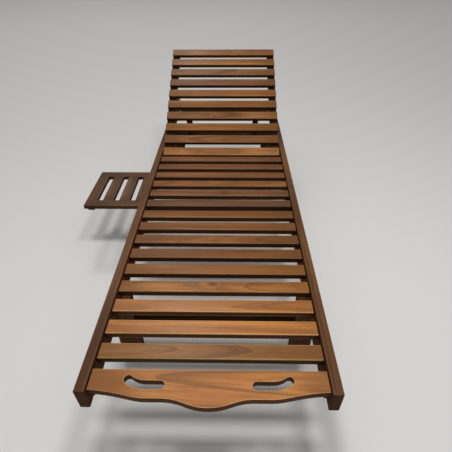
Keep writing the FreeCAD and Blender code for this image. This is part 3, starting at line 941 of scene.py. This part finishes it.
@dataclass
class Board:
    """A straight board with rounded arrises, modelled in the place of its solid."""

    node: str
    grain: Grain
    shade: Teak
    figure: Figure = Figure.STRAIGHT
    cut: Optional[LogCut] = None
    easing: float = 0.002
    pale_fade_width: float = 0.002
    knot: Optional[Pair] = None
    turn: Matrix = field(default_factory=lambda: Matrix.Identity(4))
    cutters: list[bmesh.types.BMesh] = field(default_factory=list)

    RIM: ClassVar[float] = math.radians(50.0)
    BEVEL_STEPS: ClassVar[int] = 3
    CLAMPED: ClassVar[bool] = True
    FLAT_FACING: ClassVar[float] = 0.9999
    DOWN_FACING: ClassVar[float] = -0.1
    END_FACING: ClassVar[float] = 0.8
    LEVEL_FACING: ClassVar[float] = 0.5
    END_STRETCH: ClassVar[float] = 0.004
    END_PALE_SHARE: ClassVar[float] = 0.3
    UNDER_PAINTED_SHADE: ClassVar[float] = 0.35

    def build(self) -> None:
        """Model, mark and install the board."""
        low, high = box_in(self.node, self.turn)
        piece = new_object(self.node + "_board", self.shape(low, high))
        for cutter in self.cutters:
            carve(piece, cutter)
        self.mark(piece, (low + high) / 2.0)
        piece.data.transform(self.turn)
        install(piece, self.node, SHELF.teak(self.shade))

    def shape(self, low: Vector, high: Vector) -> bmesh.types.BMesh:
        """Model the board in its flat place.

        Args:
            low: its lowest corner.
            high: its highest corner.

        Returns:
            The board's mesh.
        """
        bm = box_mesh(low, high)
        self.ease(bm)
        self.inset_pale_fade_strips(bm)
        return bm

    def ease(self, bm: bmesh.types.BMesh) -> None:
        """Round the sharp edges of the board, and mark the faces that this makes as an arris.

        Args:
            bm: the board's mesh.
        """
        layer = bm.loops.layers.float.new(ARRIS)
        rims = [edge for edge in bm.edges
                if len(edge.link_faces) == 2 and edge.calc_face_angle(0.0) > self.RIM]
        made = bmesh.ops.bevel(bm, geom=rims, offset=self.easing, segments=self.BEVEL_STEPS, profile=0.5,
                               affect="EDGES", material=-1, clamp_overlap=self.CLAMPED)
        for face in made["faces"]:
            for loop in face.loops:
                loop[layer] = 1.0

    def fade(self, bm: bmesh.types.BMesh, strips: Iterable[bmesh.types.BMFace],
             inner: Iterable[bmesh.types.BMFace]) -> None:
        """Let the pale arris, partly wear and partly painted highlight, fade out over the strips round the inner
        part of flat faces.

        Args:
            bm: the board's mesh.
            strips: the faces of the strips.
            inner: the faces inside them.
        """
        layer = bm.loops.layers.float[ARRIS]
        clear = {vert for face in inner for vert in face.verts}
        for face in strips:
            for loop in face.loops:
                loop[layer] = 0.0 if loop.vert in clear else 1.0

    def inset_pale_fade_strips(self, bm: bmesh.types.BMesh) -> None:
        """Inset the flat faces, so that the pale arris, partly wear and partly painted highlight, fades out over a
        narrow strip.

        Args:
            bm: the board's mesh.
        """
        bm.normal_update()
        flat = [face for face in bm.faces if max(map(abs, face.normal)) > self.FLAT_FACING]
        strips = bmesh.ops.inset_individual(bm, faces=flat, thickness=self.pale_fade_width, use_even_offset=True)
        self.fade(bm, strips["faces"], flat)

    def mark(self, piece: bpy.types.Object, centre: Vector) -> None:
        """Write the board's place in the log, its length, its knot, its pale arris of wear and painted highlight,
        and its painted shade and end grain to its points.

        Args:
            piece: the board in its flat place.
            centre: its middle.
        """
        bm = bmesh.new()
        bm.from_mesh(piece.data)
        log_layer = bm.verts.layers.float_vector.new(LOG_PLACE)
        knot_layer = bm.verts.layers.float_vector.new(KNOT_PLACE)
        reach_layer = bm.verts.layers.float.new(REACH)
        painted_shade_and_end_grain_layer = bm.loops.layers.float.new(PAINTED_SHADE_AND_END_GRAIN)
        arris_layer = bm.loops.layers.float[ARRIS]
        to_log = (self.cut or LogCut.sawn(self.figure, self.node)).matrix()
        knot = None if self.knot is None else Vector((*self.knot, 0.0))
        axis = self.grain.value[0]
        half = max(abs(vert.co[axis] - centre[axis]) for vert in bm.verts)
        for vert in bm.verts:
            place = vert.co - centre
            along = Vector([place[number] for number in self.grain.value])
            vert[reach_layer] = along.x / half
            vert[log_layer] = to_log @ along
            vert[knot_layer] = FAR_FROM_KNOTS if knot is None else along - knot
        bm.normal_update()
        for face in bm.faces:
            face.smooth = True
            at_end = abs(face.calc_center_median()[axis] - centre[axis]) > half - self.END_STRETCH
            for loop in face.loops:
                # Painted shade on sides, ends and undersides, with darker end grain on the ends.
                loop[painted_shade_and_end_grain_layer] = self.shelter(face.normal, axis)
                # The pale arris, wear and painted highlight, is fainter on undersides and at the ends.
                if face.normal.z < self.DOWN_FACING or at_end:
                    loop[arris_layer] *= self.END_PALE_SHARE
        bm.to_mesh(piece.data)
        bm.free()
        piece.data.set_sharp_from_angle(angle=SMOOTH_UP_TO)

    def shelter(self, normal: Vector, axis: int) -> float:
        """Tell how much painted shade a face takes: ends and sides wholly, the underside partly; on the ends this
        also stands for darker end grain.

        Args:
            normal: the way that the face points.
            axis: the axis of the part along the board.

        Returns:
            The share of painted shade, from 0 to 1.
        """
        at_end = abs(normal[axis])
        if at_end < self.END_FACING and normal.z < -self.LEVEL_FACING:
            return self.UNDER_PAINTED_SHADE
        return 1.0 if at_end > self.END_FACING or normal.z < self.LEVEL_FACING else 0.0


@dataclass
class Eased(Board):
    """A piece that keeps the shape of its solid, with its sharp edges rounded."""

    easing: float = 0.0008

    CLAMPED: ClassVar[bool] = False
    FLAT: ClassVar[float] = math.radians(1.0)

    def shape(self, low: Vector, high: Vector) -> bmesh.types.BMesh:
        """Model the piece on a merged copy of its solid.

        Args:
            low: not used, as the piece keeps the shape of its solid.
            high: not used.

        Returns:
            The piece's mesh.
        """
        bm = bmesh.new()
        bm.from_mesh(frame["nodes"][self.node].data)
        bmesh.ops.transform(bm, matrix=self.turn.inverted(), verts=bm.verts)
        bmesh.ops.remove_doubles(bm, verts=bm.verts, dist=SAME_PLACE)
        bmesh.ops.dissolve_limit(bm, angle_limit=self.FLAT, verts=bm.verts, edges=bm.edges)
        self.ease(bm)
        return bm


@dataclass
class TurnedBar(Board):
    """A round bar across the bed, with rounded ends."""

    ROUND_STEPS: ClassVar[int] = 40

    def shape(self, low: Vector, high: Vector) -> bmesh.types.BMesh:
        """Model the bar.

        Args:
            low: its lowest corner.
            high: its highest corner.

        Returns:
            The bar's mesh.
        """
        bm = bmesh.new()
        add_rod(bm, (low + high) / 2.0, (high.z - low.z) / 2.0, high.x - low.x, self.ROUND_STEPS)
        self.ease(bm)
        return bm


@dataclass
class Stile(Board):
    """A stile of the back, whose lower end is rounded about the hinge."""

    ROUND_STEPS: ClassVar[int] = 8
    TIP_FLAT: ClassVar[float] = 1e-4

    def shape(self, low: Vector, high: Vector) -> bmesh.types.BMesh:
        """Model the stile, lying flat.

        Args:
            low: its lowest corner.
            high: its highest corner.

        Returns:
            The stile's mesh.
        """
        bm = box_mesh(low, high)
        tip = [edge for edge in bm.edges
               if all(abs(vert.co.y - low.y) < SAME_PLACE for vert in edge.verts)
               and abs(edge.verts[0].co.z - edge.verts[1].co.z) < SAME_PLACE]
        bmesh.ops.bevel(bm, geom=tip, offset=(high.z - low.z) / 2.0 - self.TIP_FLAT,
                        segments=self.ROUND_STEPS, profile=0.5, affect="EDGES", material=-1)
        self.ease(bm)
        self.inset_pale_fade_strips(bm)
        return bm


@dataclass
class FootBoard(Board):
    """The board at the foot, with a wavy front edge and two hand holes.

    Depths run from its back edge towards the foot, and lengths from its middle to each side.
    """

    end_depth: float = 0.053
    shoulder_depth: float = 0.0725
    shoulder_start: float = 0.112
    shoulder_length: float = 0.038
    bulge_fullness: float = 0.45
    sweep_fullness: float = 0.54
    sweep_rise: float = 0.23
    sweep_level: float = 0.25
    hole_width: float = 0.022
    hole_start: float = 0.117
    hole_straight: float = 0.038
    hole_run: float = 0.042
    hole_depth: float = 0.0395
    hole_rise: float = 0.0135

    CURVE_STEPS: ClassVar[int] = 20
    ROUND_STEPS: ClassVar[int] = 9
    OUTLINE_MERGE: ClassVar[float] = 1e-5

    def front(self, half: float, middle_depth: float) -> list[Pair]:
        """Draw one side of the front edge.

        Args:
            half: half the board's length.
            middle_depth: its depth at the bulge.

        Returns:
            The points of the edge, as lengths and depths from the end to the middle.
        """
        shoulder_end = self.shoulder_start + self.shoulder_length
        run = half - shoulder_end
        rise = self.shoulder_depth - self.end_depth
        level = self.bulge_fullness * self.shoulder_start
        sweep = ((half, self.end_depth),
                 (half - self.sweep_fullness * run, self.end_depth + self.sweep_rise * rise),
                 (shoulder_end + self.sweep_level * run, self.shoulder_depth),
                 (shoulder_end, self.shoulder_depth))
        bulge = ((self.shoulder_start, self.shoulder_depth),
                 (self.shoulder_start - level, self.shoulder_depth),
                 (level, middle_depth),
                 (0.0, middle_depth))
        points: list[Pair] = []
        for knots in (sweep, bulge):
            poles = [Vector((*knot, 0.0)) for knot in knots]
            points += [(point.x, point.y) for point in interpolate_bezier(*poles, self.CURVE_STEPS)]
        return points

    def hole(self) -> list[Pair]:
        """Draw one hand hole: a straight stretch and a bend, with round ends.

        Returns:
            The points of its outline, as lengths and depths.
        """
        half = self.hole_width / 2.0
        radius = (self.hole_run ** 2 + self.hole_rise ** 2) / (2.0 * self.hole_rise)
        turn = math.asin(self.hole_run / radius)
        bend = (self.hole_start + self.hole_straight, self.hole_depth - radius)
        tip = (bend[0] + radius * math.sin(turn), bend[1] + radius * math.cos(turn))
        outer, inner = (arc(bend, reach, 0.0, turn, self.ROUND_STEPS)[:-1]
                        for reach in (radius + half, radius - half))
        points = arc((self.hole_start, self.hole_depth), half, -math.pi, 0.0, self.ROUND_STEPS) + outer
        return points + arc(tip, half, turn, turn + math.pi, self.ROUND_STEPS) + inner[::-1]

    def shape(self, low: Vector, high: Vector) -> bmesh.types.BMesh:
        """Model the board from its outline and holes.

        Args:
            low: its lowest corner.
            high: its highest corner.

        Returns:
            The board's mesh.
        """
        bm = bmesh.new()
        middle = (low.x + high.x) / 2.0
        front = self.front((high.x - low.x) / 2.0, high.y - low.y)
        side = [(front[0][0], 0.0)] + front
        outline = side + [(-length, depth) for length, depth in reversed(side[:-1])]
        for loop in (outline, self.hole(), [(-length, depth) for length, depth in self.hole()]):
            verts = [bm.verts.new((middle + length, high.y - depth, low.z)) for length, depth in loop]
            for first, second in zip(verts, verts[1:] + verts[:1]):
                bm.edges.new((first, second))
        bmesh.ops.remove_doubles(bm, verts=bm.verts, dist=self.OUTLINE_MERGE)
        bmesh.ops.triangle_fill(bm, use_beauty=True, edges=bm.edges, normal=(0.0, 0.0, 1.0))
        lifted = bmesh.ops.extrude_face_region(bm, geom=bm.faces)
        raised = [item for item in lifted["geom"] if isinstance(item, bmesh.types.BMVert)]
        bmesh.ops.translate(bm, vec=(0.0, 0.0, high.z - low.z), verts=raised)
        bmesh.ops.recalc_face_normals(bm, faces=bm.faces)
        self.ease(bm)
        for level in (low.z, high.z):
            flat = [face for face in bm.faces
                    if all(abs(vert.co.z - level) < SAME_PLACE for vert in face.verts)]
            strips = bmesh.ops.inset_region(bm, faces=flat, thickness=self.pale_fade_width, use_even_offset=False)
            self.fade(bm, strips["faces"], flat)
        return bm


@dataclass(frozen=True)
class BoltSizes:
    """The node of one kind of bolt, and the radii of its head, its shank and its recess in the rail."""

    node: str
    head: float
    shank: float
    recess: float


class Bolt(Enum):
    """The kinds of bolt through the rails."""

    LEG = BoltSizes("leg_bolts", head=0.009, shank=0.004, recess=0.0095)
    HINGE = BoltSizes("hinge_bolts", head=0.01, shank=0.005, recess=0.0105)


@dataclass
class Bed:
    """The fixed frame: rails, legs, cross rails, seat slats, foot board and what hides under them."""

    rail_easing: float = 0.0025
    leg_easing: float = 0.003
    foot_easing: float = 0.0025
    foot_pale_fade_width: float = 0.0015
    recess_depth: float = 0.005
    bolt_inset: float = 0.012
    cutter_spare: float = 0.01

    RECESS_STEPS: ClassVar[int] = 40
    SEAT_SHADES: ClassVar[tuple[Teak, ...]] = (
        Teak.UMBER, Teak.UMBER, Teak.UMBER, Teak.CHESTNUT, Teak.UMBER,
        Teak.SEPIA, Teak.TAWNY, Teak.TAWNY, Teak.TAWNY, Teak.TAWNY,
        Teak.AMBER, Teak.AMBER, Teak.HONEY, Teak.HONEY, Teak.ASH)
    ARCHED_SLATS: ClassVar[tuple[int, ...]] = (4, 9, 12)
    FLAME_CUTS: ClassVar[dict[int, LogCut]] = {
        13: LogCut(depth=0.0311, side=0.004, lean=0.025, drift=-0.02, shift=11.0),
        15: LogCut(depth=0.0249, side=-0.003, lean=-0.0494, drift=0.015, shift=-7.0)}
    FOOT_CUT: ClassVar[LogCut] = LogCut(depth=0.0235, side=-0.0233, lean=0.0494, drift=0.0362, shift=3.0)
    KNOTS: ClassVar[dict[int, Pair]] = {12: (-0.006, 0.0095), 5: (0.018, 0.004)}

    def build(self) -> None:
        """Build the frame's boards and dress the solids that stay."""
        self.rails()
        self.legs()
        self.seat()
        for node in ("front_cross_rail", "head_cross_rail"):
            Board(node, Grain.ACROSS, Teak.SHADED).build()
        Board("head_end_rail", Grain.ACROSS, Teak.RUSSET).build()
        for node in ("hinge_cross_rail", "tray_front_guide", "tray_rear_guide"):
            Eased(node, Grain.ACROSS, Teak.SHADED).build()
        for side in Side:
            Eased(side.piece("rack"), Grain.ALONG_ON_EDGE, Teak.SHADED, Figure.LEANING).build()
            dress(side.piece("seat_ledger"), SHELF.teak(Teak.SHADED, Grain.ALONG_ON_EDGE))
        dress("seat_slat_screws", SHELF.steel())

    def bolt_places(self, bolt: Bolt, side: Side) -> list[Vector]:
        """Find where the bolts of one kind pass through the outer face of a rail.

        Args:
            bolt: the kind of bolt.
            side: the rail's side.

        Returns:
            The places.
        """
        rail = side.piece("rail")
        face = side.outer_face(rail)
        if bolt is Bolt.HINGE:
            _, y, z = JOINTS["backrest_hinge"]["pos_m"]
            return [Vector((face, y, z))]
        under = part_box(rail)[0].z
        places = []
        for leg, top in (("front_leg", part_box(side.piece("seat_ledger"))[0].z),
                         ("head_leg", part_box(side.piece("head_leg"))[1].z)):
            low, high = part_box(side.piece(leg))
            for y in (low.y + self.bolt_inset, high.y - self.bolt_inset):
                places.append(Vector((face, y, (under + top) / 2.0)))
        return places

    def recess(self, place: Vector, radius: float) -> bmesh.types.BMesh:
        """Make the cutter for the recess of a bolt head.

        Args:
            place: the middle of the recess on the rail's outer face.
            radius: its radius.

        Returns:
            The cutter.
        """
        bm = bmesh.new()
        add_rod(bm, place, radius, 2.0 * self.recess_depth, self.RECESS_STEPS)
        return bm

    def rails(self) -> None:
        """Build the side rails, recessed for their bolt heads."""
        for side in Side:
            cutters = [self.recess(place, bolt.value.recess)
                       for bolt in Bolt for place in self.bolt_places(bolt, side)]
            Board(side.piece("rail"), Grain.ALONG_ON_EDGE, Teak.RUSSET, Figure.LEANING,
                  easing=self.rail_easing, cutters=cutters).build()

    def legs(self) -> None:
        """Build the legs, cut back where the rails stand on them and the ledgers pass."""
        for side in Side:
            for leg, timbers in (("front_leg", ("rail", "seat_ledger")), ("head_leg", ("rail",))):
                cutters = [self.seat_of(timber, side) for timber in timbers]
                Board(side.piece(leg), Grain.UPRIGHT, Teak.RUSSET, easing=self.leg_easing,
                      cutters=cutters).build()

    def seat_of(self, timber: str, side: Side) -> bmesh.types.BMesh:
        """Make the cutter that makes room for a long timber on a leg, open outwards and upwards.

        Args:
            timber: the kind of timber.
            side: the side of the bed.

        Returns:
            The cutter.
        """
        low, high = (corner.copy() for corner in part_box(side.piece(timber)))
        high.z += self.cutter_spare
        if side is Side.LEFT:
            low.x -= self.cutter_spare
        else:
            high.x += self.cutter_spare
        return box_mesh(low, high)

    def seat(self) -> None:
        """Build the seat slats and the foot board."""
        for number, shade in enumerate(self.SEAT_SHADES, start=1):
            figure = Figure.ARCHED if number in self.ARCHED_SLATS else Figure.STRAIGHT
            Board(f"seat_slat_{number:02d}", Grain.ACROSS, shade, figure, self.FLAME_CUTS.get(number),
                  knot=self.KNOTS.get(number)).build()
        FootBoard("foot_board", Grain.ACROSS, Teak.FLAME, cut=self.FOOT_CUT, easing=self.foot_easing,
                  pale_fade_width=self.foot_pale_fade_width).build()


@dataclass
class Back:
    """The reclining back and its prop."""

    sink_radius: float = 0.0042
    sink_depth: float = 0.0022
    sink_spare: float = 0.0001

    SINK_STEPS: ClassVar[int] = 24
    SHADES: ClassVar[tuple[Teak, ...]] = (
        Teak.STRAW, Teak.CHESTNUT, Teak.AMBER, Teak.CHESTNUT, Teak.AMBER,
        Teak.AMBER, Teak.UMBER, Teak.CHESTNUT, Teak.AMBER, Teak.AMBER)
    ARCHED_SLATS: ClassVar[tuple[int, ...]] = (1, 10)
    HEART_SLATS: ClassVar[tuple[int, ...]] = (2, 4, 8)

    def turn(self) -> Matrix:
        """Work out the turn of the back from flat to where it stands.

        Returns:
            The turn about the hinge.
        """
        hinge = JOINTS["backrest_hinge"]
        place = Matrix.Translation(hinge["pos_m"])
        raised = Matrix.Rotation(math.radians(-hinge["range_deg"][0]), 4, "X")
        return place @ raised @ place.inverted()

    def prop_turn(self) -> Matrix:
        """Return the turn of the prop's arms from level to where they stand."""
        angle = -JOINTS["backrest_hinge"]["range_deg"][0] - JOINTS["prop_hinge"]["range_deg"][1]
        return Matrix.Rotation(math.radians(angle), 4, "X")

    def build(self) -> None:
        """Build the stiles, the slats and the prop."""
        turn = self.turn()
        for side in Side:
            stile = side.piece("back_stile")
            Stile(stile, Grain.ALONG_ON_EDGE, Teak.SHADED, turn=turn,
                  cutters=[self.countersinks(stile)]).build()
            Eased("prop_" + side.piece("arm"), Grain.ALONG, Teak.SHADED, turn=self.prop_turn()).build()
        for number, shade in enumerate(self.SHADES, start=1):
            Board(f"back_slat_{number:02d}", Grain.ACROSS, shade, self.figure(number), turn=turn).build()
        TurnedBar("prop_foot_bar", Grain.ACROSS, Teak.SHADED).build()
        dress("prop_pivot_rod", SHELF.steel())
        dress("back_slat_screws", SHELF.steel())

    def figure(self, number: int) -> Figure:
        """Tell how a slat was sawn.

        Args:
            number: the slat's number.

        Returns:
            Its figure.
        """
        if number in self.HEART_SLATS:
            return Figure.HEART
        return Figure.ARCHED if number in self.ARCHED_SLATS else Figure.STRAIGHT

    def countersinks(self, stile: str) -> bmesh.types.BMesh:
        """Make the cutter for the screw heads under a stile, lying flat.

        Args:
            stile: the stile's node.

        Returns:
            The cutter.
        """
        bm = bmesh.new()
        low, high = box_in(stile, self.turn())
        for number in range(1, len(self.SHADES) + 1):
            slat_low, slat_high = box_in(f"back_slat_{number:02d}", self.turn())
            made = bmesh.ops.create_cone(bm, cap_ends=True, segments=self.SINK_STEPS,
                                         radius1=self.sink_radius, radius2=self.sink_radius / 2.0,
                                         depth=self.sink_depth)
            place = Vector(((low.x + high.x) / 2.0, (slat_low.y + slat_high.y) / 2.0,
                            low.z + self.sink_depth / 2.0 - self.sink_spare))
            bmesh.ops.translate(bm, vec=place, verts=made["verts"])
        return bm


@dataclass
class Tray:
    """The slatted side tray."""

    easing: float = 0.0015

    BOARDS: ClassVar[dict[str, Grain]] = {
        "tray_outer_stile": Grain.ALONG, "tray_outer_slat": Grain.ALONG, "tray_inner_slat": Grain.ALONG,
        "tray_inner_stile": Grain.ALONG, "tray_front_rail": Grain.ACROSS, "tray_rear_rail": Grain.ACROSS}

    def build(self) -> None:
        """Build the tray's boards and stop blocks."""
        for node, grain in self.BOARDS.items():
            Board(node, grain, Teak.SMOKED, easing=self.easing).build()
        Eased("tray_stop_blocks", Grain.ALONG, Teak.SMOKED).build()


@dataclass
class Fastenings:
    """The bolts through the rails: round heads with hexagon sockets, and plain shanks."""

    head_height: float = 0.004
    head_sink: float = 0.001
    head_easing: float = 0.0008
    collar_gap: float = 0.0003
    socket_radius: float = 0.004
    socket_depth: float = 0.0024

    ROUND_STEPS: ClassVar[int] = 40
    SOCKET_SIDES: ClassVar[int] = 6

    def build(self, bed: Bed) -> None:
        """Build the leg bolts and the hinge bolts.

        Args:
            bed: the frame that they hold together.
        """
        for bolt in Bolt:
            bm = bmesh.new()
            sockets = bmesh.new()
            for side in Side:
                for place in bed.bolt_places(bolt, side):
                    start = place + Vector((side.value * self.head_sink, 0.0, 0.0))
                    self.turn_bolt(bm, start, side, self.profile(bolt, side))
                    add_rod(sockets, start, self.socket_radius, 2.0 * self.socket_depth, self.SOCKET_SIDES)
            bmesh.ops.remove_doubles(bm, verts=bm.verts, dist=SAME_PLACE)
            bmesh.ops.recalc_face_normals(bm, faces=bm.faces)
            for face in bm.faces:
                face.smooth = True
            piece = new_object(bolt.value.node + "_turned", bm)
            carve(piece, sockets)
            piece.data.set_sharp_from_angle(angle=SMOOTH_UP_TO)
            install(piece, bolt.value.node, SHELF.steel())

    def profile(self, bolt: Bolt, side: Side) -> list[Pair]:
        """Draw a bolt's outline.

        Args:
            bolt: the kind of bolt.
            side: the side of the bed.

        Returns:
            The points of the outline from the face to the tip, as distances from the face and radii.
        """
        ease, head, shank = self.head_easing, bolt.value.head, bolt.value.shank
        rail_low, rail_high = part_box(side.piece("rail"))
        stile_low, stile_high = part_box(side.piece("back_stile"))
        across = [vert.co.x for vert in frame["nodes"][bolt.value.node].data.vertices]
        if side is Side.LEFT:
            length = max(x for x in across if x < stile_high.x) - rail_low.x - self.head_sink
            gap = stile_low.x - rail_high.x
        else:
            length = rail_high.x - self.head_sink - min(x for x in across if x > stile_low.x)
            gap = rail_low.x - stile_high.x
        points = [(0.0, 0.0), (0.0, head - ease), (ease, head),
                  (self.head_height, head), (self.head_height, shank)]
        if bolt is Bolt.HINGE:
            first = rail_high.x - rail_low.x - self.head_sink
            last = first + gap - self.collar_gap
            points += [(first, shank), (first, head), (last, head), (last, shank)]
        return points + [(length - ease, shank), (length, shank - ease), (length, 0.0)]

    def turn_bolt(self, bm: bmesh.types.BMesh, start: Vector, side: Side, outline: Sequence[Pair]) -> None:
        """Turn a bolt across the bed from its outline.

        Args:
            bm: the mesh that it goes into.
            start: the middle of its face.
            side: the side that it is driven from.
            outline: distances from its face and radii.
        """
        verts = [bm.verts.new(start + Vector((side.value * along, 0.0, radius))) for along, radius in outline]
        edges = [bm.edges.new(pair) for pair in zip(verts, verts[1:])]
        bmesh.ops.spin(bm, geom=verts + edges, cent=start, axis=(1.0, 0.0, 0.0), angle=math.tau,
                       steps=self.ROUND_STEPS, use_merge=True)


@dataclass(frozen=True)
class Lamp:
    """A soft lamp over the bed that faces down, with its size along both sides and its watts."""

    name: str
    place: Triple
    size: Pair
    watts: float

    def hang(self, scene: bpy.types.Scene) -> None:
        """Hang the lamp.

        Args:
            scene: where it hangs.
        """
        lamp = bpy.data.lights.new(self.name, "AREA")
        lamp.shape = "RECTANGLE"
        lamp.size, lamp.size_y = self.size
        lamp.energy = self.watts
        holder = bpy.data.objects.new(self.name, lamp)
        holder.location = self.place
        scene.collection.objects.link(holder)


@dataclass
class Studio:
    """Floor, light and camera."""

    floor_half: float = 30.0
    floor_colour: Triple = (0.72, 0.71, 0.69)
    floor_roughness: float = 0.8
    sky_above: float = 0.48
    sky_level: float = 0.13
    sky_top: float = 0.9
    camera_place: Triple = (0.1919, -1.4098, 1.1674)
    pitch: float = math.radians(38.36)
    yaw: float = math.radians(-1.129)
    roll: float = math.radians(0.368)
    focal_pixels: float = 364.76
    image_pixels: float = 452.0
    sensor: float = 36.0

    LAMPS: ClassVar[tuple[Lamp, ...]] = (
        Lamp("ceiling_front_left", place=(0.0, -0.72, 2.8), size=(0.35, 0.35), watts=18.0),
        Lamp("ceiling_front_right", place=(0.72, -0.72, 2.8), size=(0.35, 0.35), watts=18.0),
        Lamp("ceiling_rear", place=(-0.6, 2.1, 4.0), size=(1.2, 0.9), watts=14.0),
        Lamp("ceiling_far", place=(-1.26, 5.36, 8.1), size=(1.2, 1.2), watts=130.0))

    def build(self) -> None:
        """Set up the studio."""
        scene = bpy.context.scene
        scene.view_settings.view_transform = "Standard"
        self.floor()
        self.world(scene)
        for lamp in self.LAMPS:
            lamp.hang(scene)
        self.camera(scene)

    def floor(self) -> None:
        """Lay a plain pale floor."""
        bm = bmesh.new()
        bmesh.ops.create_grid(bm, x_segments=1, y_segments=1, size=self.floor_half)
        ground = new_object("studio_floor", bm)
        paint, sketch, shader = new_material("studio_floor")
        sketch.fill(shader, {"Base Color": opaque(self.floor_colour), "Roughness": self.floor_roughness})
        ground.data.materials.append(paint)

    def world(self, scene: bpy.types.Scene) -> None:
        """Surround the studio with soft light that comes from above more than from the sides.

        Args:
            scene: what it surrounds.
        """
        world = bpy.data.worlds.new("studio_light")
        world.use_nodes = True
        sketch = NodeSketch(world.node_tree)
        heading = sketch.split(sketch.add("ShaderNodeTexCoord").outputs["Generated"])
        height = sketch.between(heading["Z"], 0.0, self.sky_top)
        strength = sketch.math("MULTIPLY_ADD", height, self.sky_above - self.sky_level, self.sky_level)
        sketch.fill(world.node_tree.nodes["Background"].inputs,
                    {"Color": opaque((1.0, 1.0, 1.0)), "Strength": strength})
        scene.world = world

    def camera(self, scene: bpy.types.Scene) -> None:
        """Place the camera at the photograph's viewpoint.

        Args:
            scene: what it looks at.
        """
        forward = Vector((math.sin(self.yaw) * math.cos(self.pitch),
                          math.cos(self.yaw) * math.cos(self.pitch),
                          -math.sin(self.pitch)))
        level = Vector((math.cos(self.yaw), -math.sin(self.yaw), 0.0))
        down = forward.cross(level)
        right = level * math.cos(self.roll) + down * math.sin(self.roll)
        up = level * math.sin(self.roll) - down * math.cos(self.roll)
        lens = bpy.data.cameras.new("photo_view")
        lens.sensor_width = self.sensor
        lens.lens = self.sensor * self.focal_pixels / self.image_pixels
        holder = bpy.data.objects.new("photo_view", lens)
        holder.matrix_world = Matrix((right, up, -forward)).transposed().to_4x4()
        holder.location = self.camera_place
        scene.collection.objects.link(holder)
        scene.camera = holder


def main() -> None:
    """Build the lounger and its studio."""
    logging.basicConfig(level=logging.INFO)
    bed = Bed()
    bed.build()
    Back().build()
    Tray().build()
    Fastenings().build(bed)
    Studio().build()


if __name__ == "__main__":
    main()
